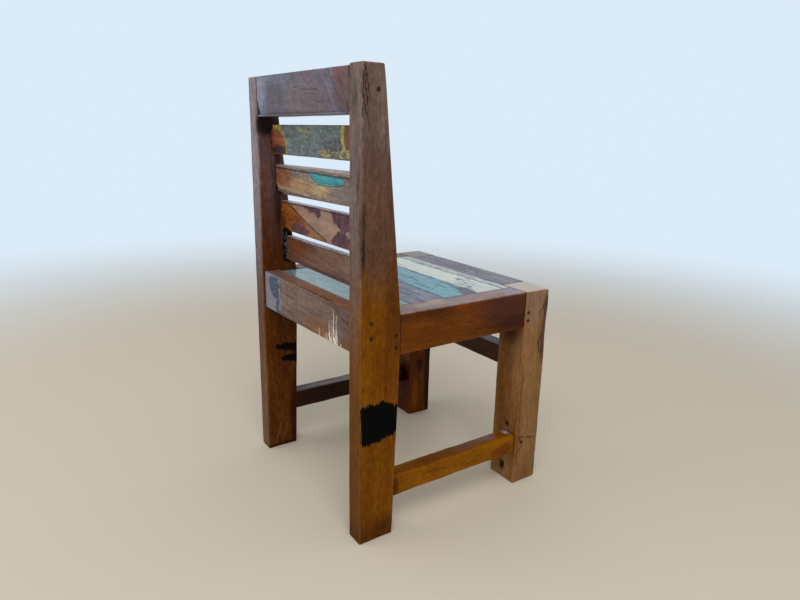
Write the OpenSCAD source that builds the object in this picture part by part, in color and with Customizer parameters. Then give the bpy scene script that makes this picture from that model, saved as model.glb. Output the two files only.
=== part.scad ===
// Low chair of reclaimed painted boat timber.
// The origin is on the floor under the middle of the chair, +Z is up, the sitter faces -Y,
// and "right" is the sitter's right, at -X. Lengths are millimetres.

/* [Overall] */
// Width across the rear posts
chair_w = 330; // [270:5:420]
// Depth from the front legs to the back of the posts
chair_d = 324; // [270:6:400]
// Height of the rear posts
chair_h = 600; // [560:5:740]
// Height of the seat
seat_h = 310; // [280:5:340]

/* [Rear posts] */
// Thickness of a post across the chair
post_t = 28; // [22:1:36]
// Depth of a post at its top
post_top_d = 30; // [26:1:40]
// Depth of a post beside the seat
post_seat_d = 58; // [50:1:70]
// Depth of a post at its foot
post_foot_d = 51; // [44:1:60]

/* [Front legs] */
// Width of the left front leg
leg_w_left = 47; // [38:1:58]
// Width of the right front leg
leg_w_right = 52; // [38:1:58]
// Depth of a front leg
leg_d = 47; // [38:1:58]

/* [Seat frame] */
// Height of the side and front aprons
apron_h = 54; // [40:1:64]
// Thickness of a side apron
side_apron_t = 34; // [28:1:42]
// Distance from the outer face of an apron in to the outer face of its legs
apron_inset = 1; // [0:0.5:3]
// Thickness of the back rail
back_rail_t = 25; // [18:1:32]
// Height of the back rail at its left end
back_rail_h_left = 59; // [45:1:66]
// Height of the back rail at its right end
back_rail_h_right = 55; // [45:1:66]
// How much higher the right end of the back rail sits than its left end
back_rail_rise = 6; // [0:0.5:8]
// How far the back rail stands above the seat at mid width
back_rail_over = 3.3; // [0:0.1:8]
// Distance from the back of the posts in to the back rail
back_rail_inset = 3; // [0:0.5:6]

/* [Seat boards] */
// Relative widths of the four seat boards, front to back
seat_board_share = [62, 59, 56, 68]; // [30:1:90]
// Thickness of the seat boards
seat_board_t = 14; // [10:1:20]
// Gap between two seat boards
seat_gap = 1; // [0.5:0.1:3]
// Gap between the ends of the seat boards and the frame
seat_end_gap = 0.5; // [0.3:0.1:2]
// Width of the two cleats under the seat boards
cleat_w = 18; // [12:1:24]
// Height of the two cleats
cleat_h = 18; // [12:1:24]

/* [Back] */
// Thickness of the top rail
top_rail_t = 28; // [20:1:30]
// Height of the top rail at its left end
top_rail_h_left = 56; // [40:1:64]
// Height of the top rail at its right end
top_rail_h_right = 52; // [40:1:64]
// Drop from the top of the posts to the top rail
top_rail_drop = 1; // [0:0.5:6]
// Distance from the back of the posts in to the top rail
top_rail_inset = 0.5; // [0:0.5:3]
// Height of the worn slope along the lower back edge of the top rail
top_rail_slope_h = 23; // [0:1:30]
// Depth of that slope at the lower edge
top_rail_slope_d = 5; // [0:0.5:8]
// Relative heights of the four back slats at their left ends, top to bottom
slat_h_left = [42.5, 43.3, 44.2, 38.8]; // [25:0.5:50]
// Relative heights of the four back slats at their right ends, top to bottom
slat_h_right = [42, 42.8, 47.7, 43.3]; // [25:0.5:50]
// How much higher the right end of each slat sits than its left end
slat_rise = [1, 4, 2.5, 1.5]; // [0:0.5:5]
// Thickness of each slat
slat_t = [14, 15, 13, 10]; // [9:0.5:18]
// How far the front of each slat sits behind the front edge of the posts
slat_setback = [2, 2.2, 2.2, 2]; // [0:0.1:5]
// How far each slat is let into the posts
slat_housing = 6; // [3:0.5:10]
// Gap between the top rail and the first slat, on the same scale as the slats' heights
gap_share_1 = 11.1; // [5:0.1:30]
// Gap between the first and second slats
gap_share_2 = 14.4; // [5:0.1:30]
// Gap between the second and third slats
gap_share_3 = 11.6; // [5:0.1:30]
// Gap between the third and fourth slats
gap_share_4 = 10.2; // [5:0.1:30]
// Gap between the fourth slat and the back rail
gap_share_5 = 11.8; // [5:0.1:30]

/* [Lower rails] */
// Thickness of the side stretchers
stretcher_t = 25; // [18:1:28]
// Height of the side stretchers
stretcher_h = 30; // [20:1:40]
// Distance from the outer face of the legs in to a stretcher
stretcher_inset = 2; // [0:0.5:6]
// Height of the right stretcher above the floor
stretcher_low_right = 54; // [30:1:120]
// Height of the left stretcher above the floor
stretcher_low_left = 62.5; // [30:0.5:120]
// Thickness of the front rail
front_rail_t = 26; // [18:1:32]
// Height of the front rail
front_rail_h = 29; // [20:1:40]
// Height of the front rail above the floor
front_rail_low = 179.5; // [120:0.5:200]

/* [Joints] */
// Thickness of the tenons
tenon_t = 10; // [6:1:14]
// Length of the tenons
tenon_len = 18; // [12:1:20]
// Shoulder above and below a tenon
shoulder = 3; // [1:0.5:6]
// Shoulder above and below the back rail's tenons
back_rail_shoulder = 6; // [3:0.5:10]
// Height of the top rail's tenons as a share of its own
top_rail_tenon_share = 0.5; // [0.3:0.05:0.7]
// Diameter of a nail
nail_d = 3; // [2:0.2:4]
// Diameter of a nail's head
nail_head_d = 5; // [4:0.2:7]
// Thickness of a nail's head
nail_head_t = 1.2; // [0.6:0.2:2]
// Depth of a nail's head below the wood
nail_sink = 0.8; // [0:0.2:2]
// Length of the nails that peg the tenons
peg_len = 24; // [18:1:26]
// Length of the nails driven into the ends of the rails
rail_nail_len = 50; // [40:1:60]
// Length of the nails through the cleats
cleat_nail_len = 30; // [22:1:34]

/* [Hidden] */
$fn = 32;
RIGHT = -1;
LEFT = 1;
// A cut runs this far past the surface that it opens
past = 1;

// Outer faces
half_w = chair_w / 2;
front_y = -chair_d / 2;
back_y = chair_d / 2;

// Faces that other pieces meet
post_in = half_w - post_t;
leg_in_left = half_w - leg_w_left;
leg_in_right = half_w - leg_w_right;
leg_back_y = front_y + leg_d;
apron_low = seat_h - apron_h;
apron_out = half_w - apron_inset;
apron_in = apron_out - side_apron_t;
back_rail_back_y = back_y - back_rail_inset;
back_rail_front_y = back_rail_back_y - back_rail_t;
top_rail_back_y = back_y - top_rail_inset;
stretcher_out = half_w - stretcher_inset;
cleat_top = seat_h - seat_board_t;
cleat_in = apron_in - cleat_w;

// Tenons of the side pieces run down the middle of the posts
side_tenon_x = half_w - post_t / 2;
front_tenon_y = front_y + leg_d / 2;

// The front edge of a post: upright beside the apron, leaning back above it, tapering below it
seat_front_y = back_y - post_seat_d;
function post_front(z) =
    z > seat_h ? seat_front_y + (z - seat_h) / (chair_h - seat_h) * (post_seat_d - post_top_d)
    : z > apron_low ? seat_front_y
    : seat_front_y + (apron_low - z) / apron_low * (post_seat_d - post_foot_d);

// Middle heights of the two rails, and the space that the slats and gaps share out
top_rail_h = (top_rail_h_left + top_rail_h_right) / 2;
back_rail_h = (back_rail_h_left + back_rail_h_right) / 2;
top_rail_mid = chair_h - top_rail_drop - top_rail_h / 2;
back_rail_mid = seat_h + back_rail_over - back_rail_h / 2;
slats = [0, 1, 2, 3];
slat_share = [for (i = slats) (slat_h_left[i] + slat_h_right[i]) / 2];
gap_share = [gap_share_1, gap_share_2, gap_share_3, gap_share_4, gap_share_5];
function total(list, count) = count == 0 ? 0 : list[count - 1] + total(list, count - 1);
back_top = top_rail_mid - top_rail_h / 2;
back_low = back_rail_mid + back_rail_h / 2;
back_unit = (back_top - back_low)
    / (total(slat_share, len(slat_share)) + total(gap_share, len(gap_share)));
function slat_mid(i) = back_top
    - back_unit * (total(gap_share, i + 1) + total(slat_share, i) + slat_share[i] / 2);
function slat_front_y(i) = post_front(slat_mid(i)) + slat_setback[i];

// Seat boards fill the space from the front apron to the back rail
board_count = len(seat_board_share);
last_board = board_count - 1;
board_unit = (back_rail_front_y - leg_back_y - (board_count + 1) * seat_gap)
    / total(seat_board_share, board_count);
function board_w(i) = seat_board_share[i] * board_unit;
function board_front_y(i) = leg_back_y + (i + 1) * seat_gap + total(seat_board_share, i) * board_unit;

// Nails: distance from a joint's shoulder line, and heights up the piece that they hold
apron_nail_in = 6;
stretcher_nail_in = 12;
apron_nails_at_post = [11, 27];
apron_nails_at_leg = [10, 22];
back_rail_nails = [16, -3];
top_rail_nail_in = 22;
cleat_nail_count = 3;

function stretcher_low(side) = side == RIGHT ? stretcher_low_right : stretcher_low_left;
function side_x(side, inner, outer) = side == RIGHT ? -outer : inner;

// A block between two opposite corners
module block(low, high) {
    translate(low)
        cube(high - low);
}

// A board along X with its back at y. Its ends, a span apart, differ in height and in level.
module board(half_len, span, y, thick, mid, h_left, h_right, rise) {
    half_h = (h_left + h_right) / 4;
    grow = (h_left - h_right) / span / 2;
    lean = rise / span;
    translate([0, y, 0])
        rotate([90, 0, 0])
            linear_extrude(thick)
                polygon([for (corner = [[-1, -1], [1, -1], [1, 1], [-1, 1]])
                    let (x = corner[0] * half_len)
                    [x, mid - lean * x + corner[1] * (half_h + grow * x)]]);
}

// A profile drawn in the YZ plane, run from x_low over a width
module side_profile(points, x_low, width) {
    translate([x_low, 0, 0])
        rotate([90, 0, 90])
            linear_extrude(width)
                polygon(points);
}

// A nail along X with its head towards the outside of the given side
module nail(side, x, y, z, length) {
    translate([x, y, z])
        rotate([0, -90 * side, 0]) {
            cylinder(d = nail_head_d, h = nail_head_t);
            cylinder(d = nail_d, h = length);
        }
}

// The hole that a nail leaves, open to the face that it was driven through
module nail_hole(side, x, y, z, length) {
    nail(side, x, y, z, length);
    translate([x, y, z])
        rotate([0, 90 * side, 0])
            cylinder(d = nail_head_d, h = nail_sink + past);
}

// Places of the nails: [side, x, y, z]
nail_x = half_w - nail_sink;
peg_spots = [for (side = [RIGHT, LEFT]) each [
    for (up = apron_nails_at_post)
        [side, side * nail_x, seat_front_y + apron_nail_in, apron_low + up],
    for (up = apron_nails_at_leg)
        [side, side * nail_x, leg_back_y - apron_nail_in, apron_low + up],
    [side, side * nail_x, leg_back_y - stretcher_nail_in, stretcher_low(side) + stretcher_h / 2]]];
rail_spots = [for (side = [RIGHT, LEFT]) each [
    for (up = back_rail_nails)
        [side, side * nail_x, back_rail_back_y - back_rail_t / 2,
            back_rail_mid - side * back_rail_rise / 2 + up],
    [side, side * nail_x, back_y - top_rail_nail_in, top_rail_mid]]];
cleat_nail_x = cleat_in + nail_sink;
cleat_nail_gap = (seat_front_y - leg_back_y) / cleat_nail_count;
cleat_spots = [for (side = [RIGHT, LEFT], i = [1:cleat_nail_count])
    [-side, side * cleat_nail_x, leg_back_y + (i - 0.5) * cleat_nail_gap, cleat_top - cleat_h / 2]];

module nails(spots, length) {
    for (s = spots)
        nail(s[0], s[1], s[2], s[3], length);
}

module nail_holes(spots, length) {
    for (s = spots)
        nail_hole(s[0], s[1], s[2], s[3], length);
}

// Tenons, which are also the shapes of their mortises
module apron_tenons(side) {
    x = side_x(side, side_tenon_x - tenon_t / 2, side_tenon_x + tenon_t / 2);
    block([x, leg_back_y - tenon_len, apron_low + shoulder],
        [x + tenon_t, seat_front_y + tenon_len, seat_h - shoulder]);
}

module stretcher_tenons(side) {
    x = side_x(side, side_tenon_x - tenon_t / 2, side_tenon_x + tenon_t / 2);
    low = stretcher_low(side) + shoulder;
    high = stretcher_low(side) + stretcher_h - shoulder;
    block([x, leg_back_y - tenon_len, low], [x + tenon_t, post_front(low) + tenon_len, high]);
}

module front_tenons(low, high) {
    block([-leg_in_right - tenon_len, front_tenon_y - tenon_t / 2, low + shoulder],
        [leg_in_left + tenon_len, front_tenon_y + tenon_t / 2, high - shoulder]);
}

module back_rail_tenons() {
    inset = (back_rail_t - tenon_t) / 2;
    board(post_in + tenon_len, 2 * post_in, back_rail_back_y - inset, tenon_t, back_rail_mid,
        back_rail_h_left - 2 * back_rail_shoulder, back_rail_h_right - 2 * back_rail_shoulder,
        back_rail_rise);
}

module top_rail_tenons() {
    inset = (top_rail_t - tenon_t) / 2;
    half_h = top_rail_h * top_rail_tenon_share / 2;
    block([-post_in - tenon_len, top_rail_back_y - inset - tenon_t, top_rail_mid - half_h],
        [post_in + tenon_len, top_rail_back_y - inset, top_rail_mid + half_h]);
}

// A back slat runs into a housing in each post
module slat_blank(i) {
    board(post_in + slat_housing, 2 * post_in, slat_front_y(i) + slat_t[i], slat_t[i], slat_mid(i),
        slat_h_left[i] * back_unit, slat_h_right[i] * back_unit, slat_rise[i]);
}

module post(side) {
    color("saddlebrown")
        difference() {
            side_profile([[post_front(0), 0], [back_y, 0], [back_y, chair_h],
                [post_front(chair_h), chair_h], [seat_front_y, seat_h], [seat_front_y, apron_low]],
                side_x(side, post_in, half_w), post_t);
            for (i = slats)
                slat_blank(i);
            top_rail_tenons();
            back_rail_tenons();
            apron_tenons(side);
            stretcher_tenons(side);
            nail_holes([for (s = rail_spots) if (s[0] == side) s], rail_nail_len);
            nail_holes([for (s = peg_spots) if (s[0] == side && s[2] > 0) s], peg_len);
        }
}

module front_leg(side) {
    low_x = side == RIGHT ? -half_w : leg_in_left;
    high_x = side == RIGHT ? -leg_in_right : half_w;
    color("peru")
        difference() {
            block([low_x, front_y, 0], [high_x, leg_back_y, seat_h]);
            apron_tenons(side);
            stretcher_tenons(side);
            front_tenons(apron_low, seat_h);
            front_tenons(front_rail_low, front_rail_low + front_rail_h);
            nail_holes([for (s = peg_spots) if (s[0] == side && s[2] < 0) s], peg_len);
        }
}

module top_rail() {
    low = top_rail_mid - top_rail_h;
    slope_top = top_rail_mid - top_rail_h / 2 + top_rail_slope_h;
    color("rosybrown")
        difference() {
            union() {
                difference() {
                    board(post_in, 2 * post_in, top_rail_back_y, top_rail_t, top_rail_mid,
                        top_rail_h_left, top_rail_h_right, 0);
                    // The slope is a wedge off the lower back edge
                    side_profile([[top_rail_back_y, slope_top],
                        [top_rail_back_y + past, slope_top], [top_rail_back_y + past, low],
                        [top_rail_back_y - top_rail_slope_d * (slope_top - low) / top_rail_slope_h,
                            low]],
                        -post_in - past, 2 * (post_in + past));
                }
                top_rail_tenons();
            }
            nail_holes(rail_spots, rail_nail_len);
        }
}

module back_slat(i, tint) {
    color(tint)
        slat_blank(i);
}

module back_rail() {
    color("rosybrown")
        difference() {
            union() {
                board(post_in, 2 * post_in, back_rail_back_y, back_rail_t, back_rail_mid,
                    back_rail_h_left, back_rail_h_right, back_rail_rise);
                back_rail_tenons();
            }
            nail_holes(rail_spots, rail_nail_len);
        }
}

module apron_front() {
    color("slategray") {
        block([-leg_in_right, front_y + apron_inset, apron_low], [leg_in_left, leg_back_y, seat_h]);
        front_tenons(apron_low, seat_h);
    }
}

module apron_side(side) {
    x = side_x(side, apron_in, apron_out);
    color("sienna")
        difference() {
            union() {
                block([x, leg_back_y, apron_low], [x + side_apron_t, seat_front_y, seat_h]);
                apron_tenons(side);
            }
            nail_holes([for (s = peg_spots) if (s[0] == side) s], peg_len);
            nail_holes([for (s = cleat_spots) if (s[0] == -side) s], cleat_nail_len);
        }
}

// The last board has ears that reach out to the posts behind the side aprons
module seat_board(i, tint) {
    half = apron_in - seat_end_gap;
    ear = post_in - seat_end_gap;
    y = board_front_y(i);
    color(tint) {
        block([-half, y, cleat_top], [half, y + board_w(i), seat_h]);
        if (i == last_board)
            block([-ear, seat_front_y + seat_end_gap, cleat_top], [ear, y + board_w(i), seat_h]);
    }
}

module cleat(side) {
    x = side_x(side, cleat_in, apron_in);
    color("burlywood")
        difference() {
            block([x, leg_back_y, cleat_top - cleat_h], [x + cleat_w, back_rail_front_y, cleat_top]);
            nail_holes([for (s = cleat_spots) if (s[0] == -side) s], cleat_nail_len);
        }
}

module front_rail() {
    low = front_rail_low;
    color("saddlebrown") {
        block([-leg_in_right, front_tenon_y - front_rail_t / 2, low],
            [leg_in_left, front_tenon_y + front_rail_t / 2, low + front_rail_h]);
        front_tenons(low, low + front_rail_h);
    }
}

module stretcher(side) {
    x = side_x(side, stretcher_out - stretcher_t, stretcher_out);
    low = stretcher_low(side);
    high = low + stretcher_h;
    color("chocolate")
        difference() {
            union() {
                side_profile([[leg_back_y, low], [post_front(low), low], [post_front(high), high],
                    [leg_back_y, high]], x, stretcher_t);
                stretcher_tenons(side);
            }
            nail_holes([for (s = peg_spots) if (s[0] == side) s], peg_len);
        }
}

module tenon_nails() {
    color("dimgray")
        nails(peg_spots, peg_len);
}

module rail_nails() {
    color("dimgray")
        nails(rail_spots, rail_nail_len);
}

module cleat_nails() {
    color("dimgray")
        nails(cleat_spots, cleat_nail_len);
}

post(RIGHT);  // post_right
post(LEFT);  // post_left
front_leg(RIGHT);  // front_leg_right
front_leg(LEFT);  // front_leg_left
top_rail();
back_slat(0, "darkkhaki");  // back_slat_1
back_slat(1, "tan");  // back_slat_2
back_slat(2, "goldenrod");  // back_slat_3
back_slat(3, "sienna");  // back_slat_4
back_rail();
apron_front();
apron_side(RIGHT);  // apron_right
apron_side(LEFT);  // apron_left
seat_board(0, "ivory");  // seat_board_1
seat_board(1, "cadetblue");  // seat_board_2
seat_board(2, "thistle");  // seat_board_3
seat_board(3, "lightblue");  // seat_board_4
cleat(RIGHT);  // cleat_right
cleat(LEFT);  // cleat_left
front_rail();
stretcher(RIGHT);  // stretcher_right
stretcher(LEFT);  // stretcher_left
tenon_nails();
rail_nails();
cleat_nails();
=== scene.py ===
"""Looks of a low chair of reclaimed painted boat timber.

Places are millimetres in the chair's own frame: +Z up, the sitter faces -Y, and right is -X.
Colours are 0..255 sRGB values. Each timber is a dense box mesh that is rounded, worn, dented and
cracked in numpy. Its paint fields, stains, painted shade, painted highlights and knots are stored
on the mesh, and one shader recipe turns them into looks.
"""

import math
from types import SimpleNamespace

import bpy
import numpy as np
from mathutils import Matrix, Vector


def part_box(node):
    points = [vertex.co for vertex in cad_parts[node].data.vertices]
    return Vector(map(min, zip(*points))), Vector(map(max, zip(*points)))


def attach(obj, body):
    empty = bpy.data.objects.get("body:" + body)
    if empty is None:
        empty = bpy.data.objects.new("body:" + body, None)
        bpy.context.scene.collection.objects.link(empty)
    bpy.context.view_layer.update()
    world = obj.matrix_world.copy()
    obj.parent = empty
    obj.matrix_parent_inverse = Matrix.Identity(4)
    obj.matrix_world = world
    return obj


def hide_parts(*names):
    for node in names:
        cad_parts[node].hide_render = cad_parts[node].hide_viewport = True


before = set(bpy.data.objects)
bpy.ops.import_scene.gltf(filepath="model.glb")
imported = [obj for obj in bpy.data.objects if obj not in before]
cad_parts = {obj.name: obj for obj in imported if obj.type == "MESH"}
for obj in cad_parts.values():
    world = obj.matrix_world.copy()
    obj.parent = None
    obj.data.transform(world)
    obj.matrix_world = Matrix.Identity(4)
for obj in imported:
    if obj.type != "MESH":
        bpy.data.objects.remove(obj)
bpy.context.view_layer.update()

METRE = 1000.0  # millimetres in a metre
X, Y, Z = 0, 1, 2
FACES = {"-x": (X, -1), "+x": (X, 1), "-y": (Y, -1), "+y": (Y, 1), "-z": (Z, -1), "+z": (Z, 1)}


# ---------------------------------------------------------------- noise and places

CELL_FACTORS = np.array([73856093, 19349663, 83492791])
SEED_FACTOR = 40503


def cell_value(cell, seed):
    """A repeatable value in -1..1 for each whole-number cell."""
    h = np.bitwise_xor.reduce(cell * CELL_FACTORS, axis=-1) ^ seed * SEED_FACTOR
    h = ((h ^ (h >> 13)) * 1274126177) & 0xFFFFFFFF
    h = ((h ^ (h >> 16)) * 2246822519) & 0xFFFFFFFF
    return ((h ^ (h >> 15)) & 0xFFFFFF) / 0x7FFFFF - 1


def noise(points, size, seed):
    """Smooth noise in -1..1 whose features are about size millimetres, one number or three."""
    scaled = points / np.asarray(size, float)
    cell = np.floor(scaled).astype(np.int64)
    part = scaled - cell
    part = part * part * (3 - 2 * part)
    total = np.zeros(len(points))
    for corner in np.ndindex(2, 2, 2):
        weight = np.prod(np.where(corner, part, 1 - part), axis=-1)
        total += weight * cell_value(cell + np.array(corner), seed)
    return total


def ease(value, low, high):
    """Smooth step from 0 at low to 1 at high."""
    t = np.clip((value - low) / (high - low), 0, 1)
    return t * t * (3 - 2 * t)


def reach_of(points, centre, radii):
    """0 at a centre, 1 on the ellipsoid of the given radii round it."""
    return np.linalg.norm((points - np.array(centre, float)) / np.array(radii, float), axis=1)


def segment_distance(points, start, end):
    """Distance from a straight segment, and the share of its length at the nearest place."""
    start, end = np.array(start, float), np.array(end, float)
    side = end - start
    along = np.clip(((points - start) @ side) / (side @ side), 0, 1)
    return np.linalg.norm(points - start - along[:, None] * side, axis=1), along


def outline_field(flat, outline):
    """Signed distance in millimetres from flat points to a closed outline, positive inside."""
    corners = np.array(outline, float)
    nearest = np.full(len(flat), np.inf)
    inside = np.zeros(len(flat), bool)
    for start, end in zip(corners, np.roll(corners, -1, axis=0)):
        nearest = np.minimum(nearest, segment_distance(flat, start, end)[0])
        side = end - start
        if side[1]:
            crosses = (start[1] > flat[:, 1]) != (end[1] > flat[:, 1])
            inside ^= crosses & (flat[:, 0] < start[0] + (flat[:, 1] - start[1]) * side[0] / side[1])
    return np.where(inside, nearest, -nearest)


def box_mm(node):
    low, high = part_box(node)
    return np.array(low) * METRE, np.array(high) * METRE


def cad_points(node):
    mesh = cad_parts[node].data
    points = np.empty(len(mesh.vertices) * 3)
    mesh.vertices.foreach_get("co", points)
    return points.reshape(-1, 3) * METRE


def cad_section(node, axis, place):
    """Lowest and highest corner of a CAD node's points at a place along an axis."""
    points = cad_points(node)
    near = points[np.abs(points[:, axis] - place) < 0.6]
    return near.min(0), near.max(0)


def srgb(red, green, blue):
    """Linear colour from 0..255 sRGB values."""
    return tuple((c / 255) ** 2.2 for c in (red, green, blue))


def darker(colour, share):
    return tuple(c * share for c in colour)


# ---------------------------------------------------------------- timber meshes

END_LINES = np.array([0, 0.5, 1.0, 1.6, 2.3, 3.2, 4.3])  # mesh lines beside an arris
END_REACH = 5.6
LEAST_SIDE = 2.6 * END_REACH  # the lines beside the arrises of a shorter side are squeezed
LEAST_STEP = 0.22  # mesh lines stand further apart than this
NAIL_LINES = (3.3, 0.6)  # reach and spacing of the finer mesh lines round a nail
CRACK_SPACING = 0.5
ARRIS_NOISE = ((0.45, 26), (0.2, 7))  # how much the radius of an arris wanders, over what length
DENT_SIZE = 17
LEAST_ARRIS = 0.4
WIDEST_ARRIS = 0.42  # as a share of the narrower side
SUNK = 0.15  # a worn face lies this far inside the sawn blank, and never less than LEAST_SUNK
LEAST_SUNK = 0.05
WAVES = (0.12, 70)  # height and length of the waves of a face
RIDGE_SIZE = (45, 2.2)  # along and across the grain
RAGGED = (1.6, 6)  # how far and over what length the edges of gouges and paint are moved about
BENT_CRACKS = 0.35  # cracks, and stains with painted shade and highlights, take these shares of that
BENT_TINTS = 0.4
NAIL_RADIUS = 2.0
NAIL_PIT = (0.9, 1.0)  # width of a nail pit's slope, and its depth
NAIL_STAIN = (0.2, 1.6, 0.8)  # where the dark ring begins and ends outside the nail, and its strength
BUTT_GROOVE = (0.7, 0.85)  # depth of the joint line at a butted end, and how dark it is painted with dirt and painted shade
FAR = 20.0  # a paint field is cut off at this distance from its edge
PAINT_EDGE = 0.6  # half the width of the step at a paint's edge
FACING = 0.35  # paint lies where the normal turns this much towards its face
END_FACING = 0.75

PLAIN_LOOK = dict(
    seed=1, step=2.4, width_step=1.8,  # noise, and the mesh steps along and across
    arris=1.3, dents=1.6, ridges=0.07, butt=0, slope=None,  # shape of the worn surface
    worn=(), gouges=(), cracks=(), nails=(), knots=(), stains=(), paints=(), strokes=(),
    pith=(38, -22), lean=0.06, ring=5.0, figure=0.7,  # growth rings
    fibres=0.55, pore=0.5, mottle=0.45, dashes=0.5,  # strength of the finer grain
    edge=None, rubbed=0.2, end_colour=None, end_mix=0.5, gloss=0.14)
PLAIN_PAINT = dict(
    bare=(), thick=0.15, torn=2.0, combed=1.0,  # shape, and how ragged the edge is both ways
    holes=0, hole_size=(14, 4), streak=(40, 5), specks=(), pitted=0.3, opacity=1.0, rim=None,
    rough=0.35, lift=0.6)


def paint(colours, shapes, **more):
    """A coat of two mixed colours. A shape is a face and an outline, or None for the whole face."""
    return SimpleNamespace(**{**PLAIN_PAINT, "colours": colours, "shapes": shapes, **more})


def along_grain(axis, along, across):
    """Sizes of a feature along X, Y and Z in timber whose grain runs along the axis."""
    return [along if k == axis else across for k in range(3)]


def mesh_lines(length, step, fine):
    """Places of the mesh lines along a side: crowded beside its ends and round the fine places."""
    squeeze = min(1, length / LEAST_SIDE)
    ends = END_LINES * squeeze
    reach = END_REACH * squeeze
    count = max(2, round((length - 2 * reach) / step) + 1)
    places = np.concatenate([ends, np.linspace(reach, length - reach, count), length - ends])
    for centre, half, spacing in fine:
        places = np.append(places, np.arange(centre - half, centre + half + spacing / 2, spacing))
    places = np.unique(np.clip(places, 0, length))
    keep = np.append(True, np.diff(places) > LEAST_STEP)
    keep[-1] = True
    keep[-2] = places[-1] - places[-2] > LEAST_STEP
    return places[keep]


def box_quads(counts):
    """Quads over the six sides of a grid of points, as indices into the whole grid."""
    quads = []
    for axis in range(3):
        one, two = [k for k in range(3) if k != axis]
        grid = np.meshgrid(np.arange(counts[one] - 1), np.arange(counts[two] - 1), indexing="ij")
        for far in (False, True):
            corners = []
            for step_one, step_two in ((0, 0), (1, 0), (1, 1), (0, 1)):
                index = [None] * 3
                index[axis] = np.full(grid[0].shape, counts[axis] - 1 if far else 0)
                index[one] = grid[0] + step_one
                index[two] = grid[1] + step_two
                corners.append((index[0] * counts[1] + index[1]) * counts[2] + index[2])
            quad = np.stack(corners, -1).reshape(-1, 4)
            quads.append(quad[:, ::-1] if far == (axis == 1) else quad)
    return np.concatenate(quads)


def paint_field(coat, at, normal):
    """Distance in millimetres inside the edge of a coat of paint."""
    field = np.full(len(at), -FAR)
    shapes = [(face, outline, None) for face, outline in coat.shapes]
    for face, outline, margin in [*shapes, *coat.bare]:
        direction, sign = FACES[face]
        plane = [m for m in range(3) if m != direction]
        facing = normal[:, direction] * sign > FACING
        found = outline_field(at[:, plane], outline) if outline else np.full(len(at), FAR)
        if margin is None:
            field = np.where(facing, np.maximum(field, found), field)
        else:
            field = np.where(facing, np.minimum(field, -found - margin), field)
    return np.clip(field, -FAR, FAR)


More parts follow.
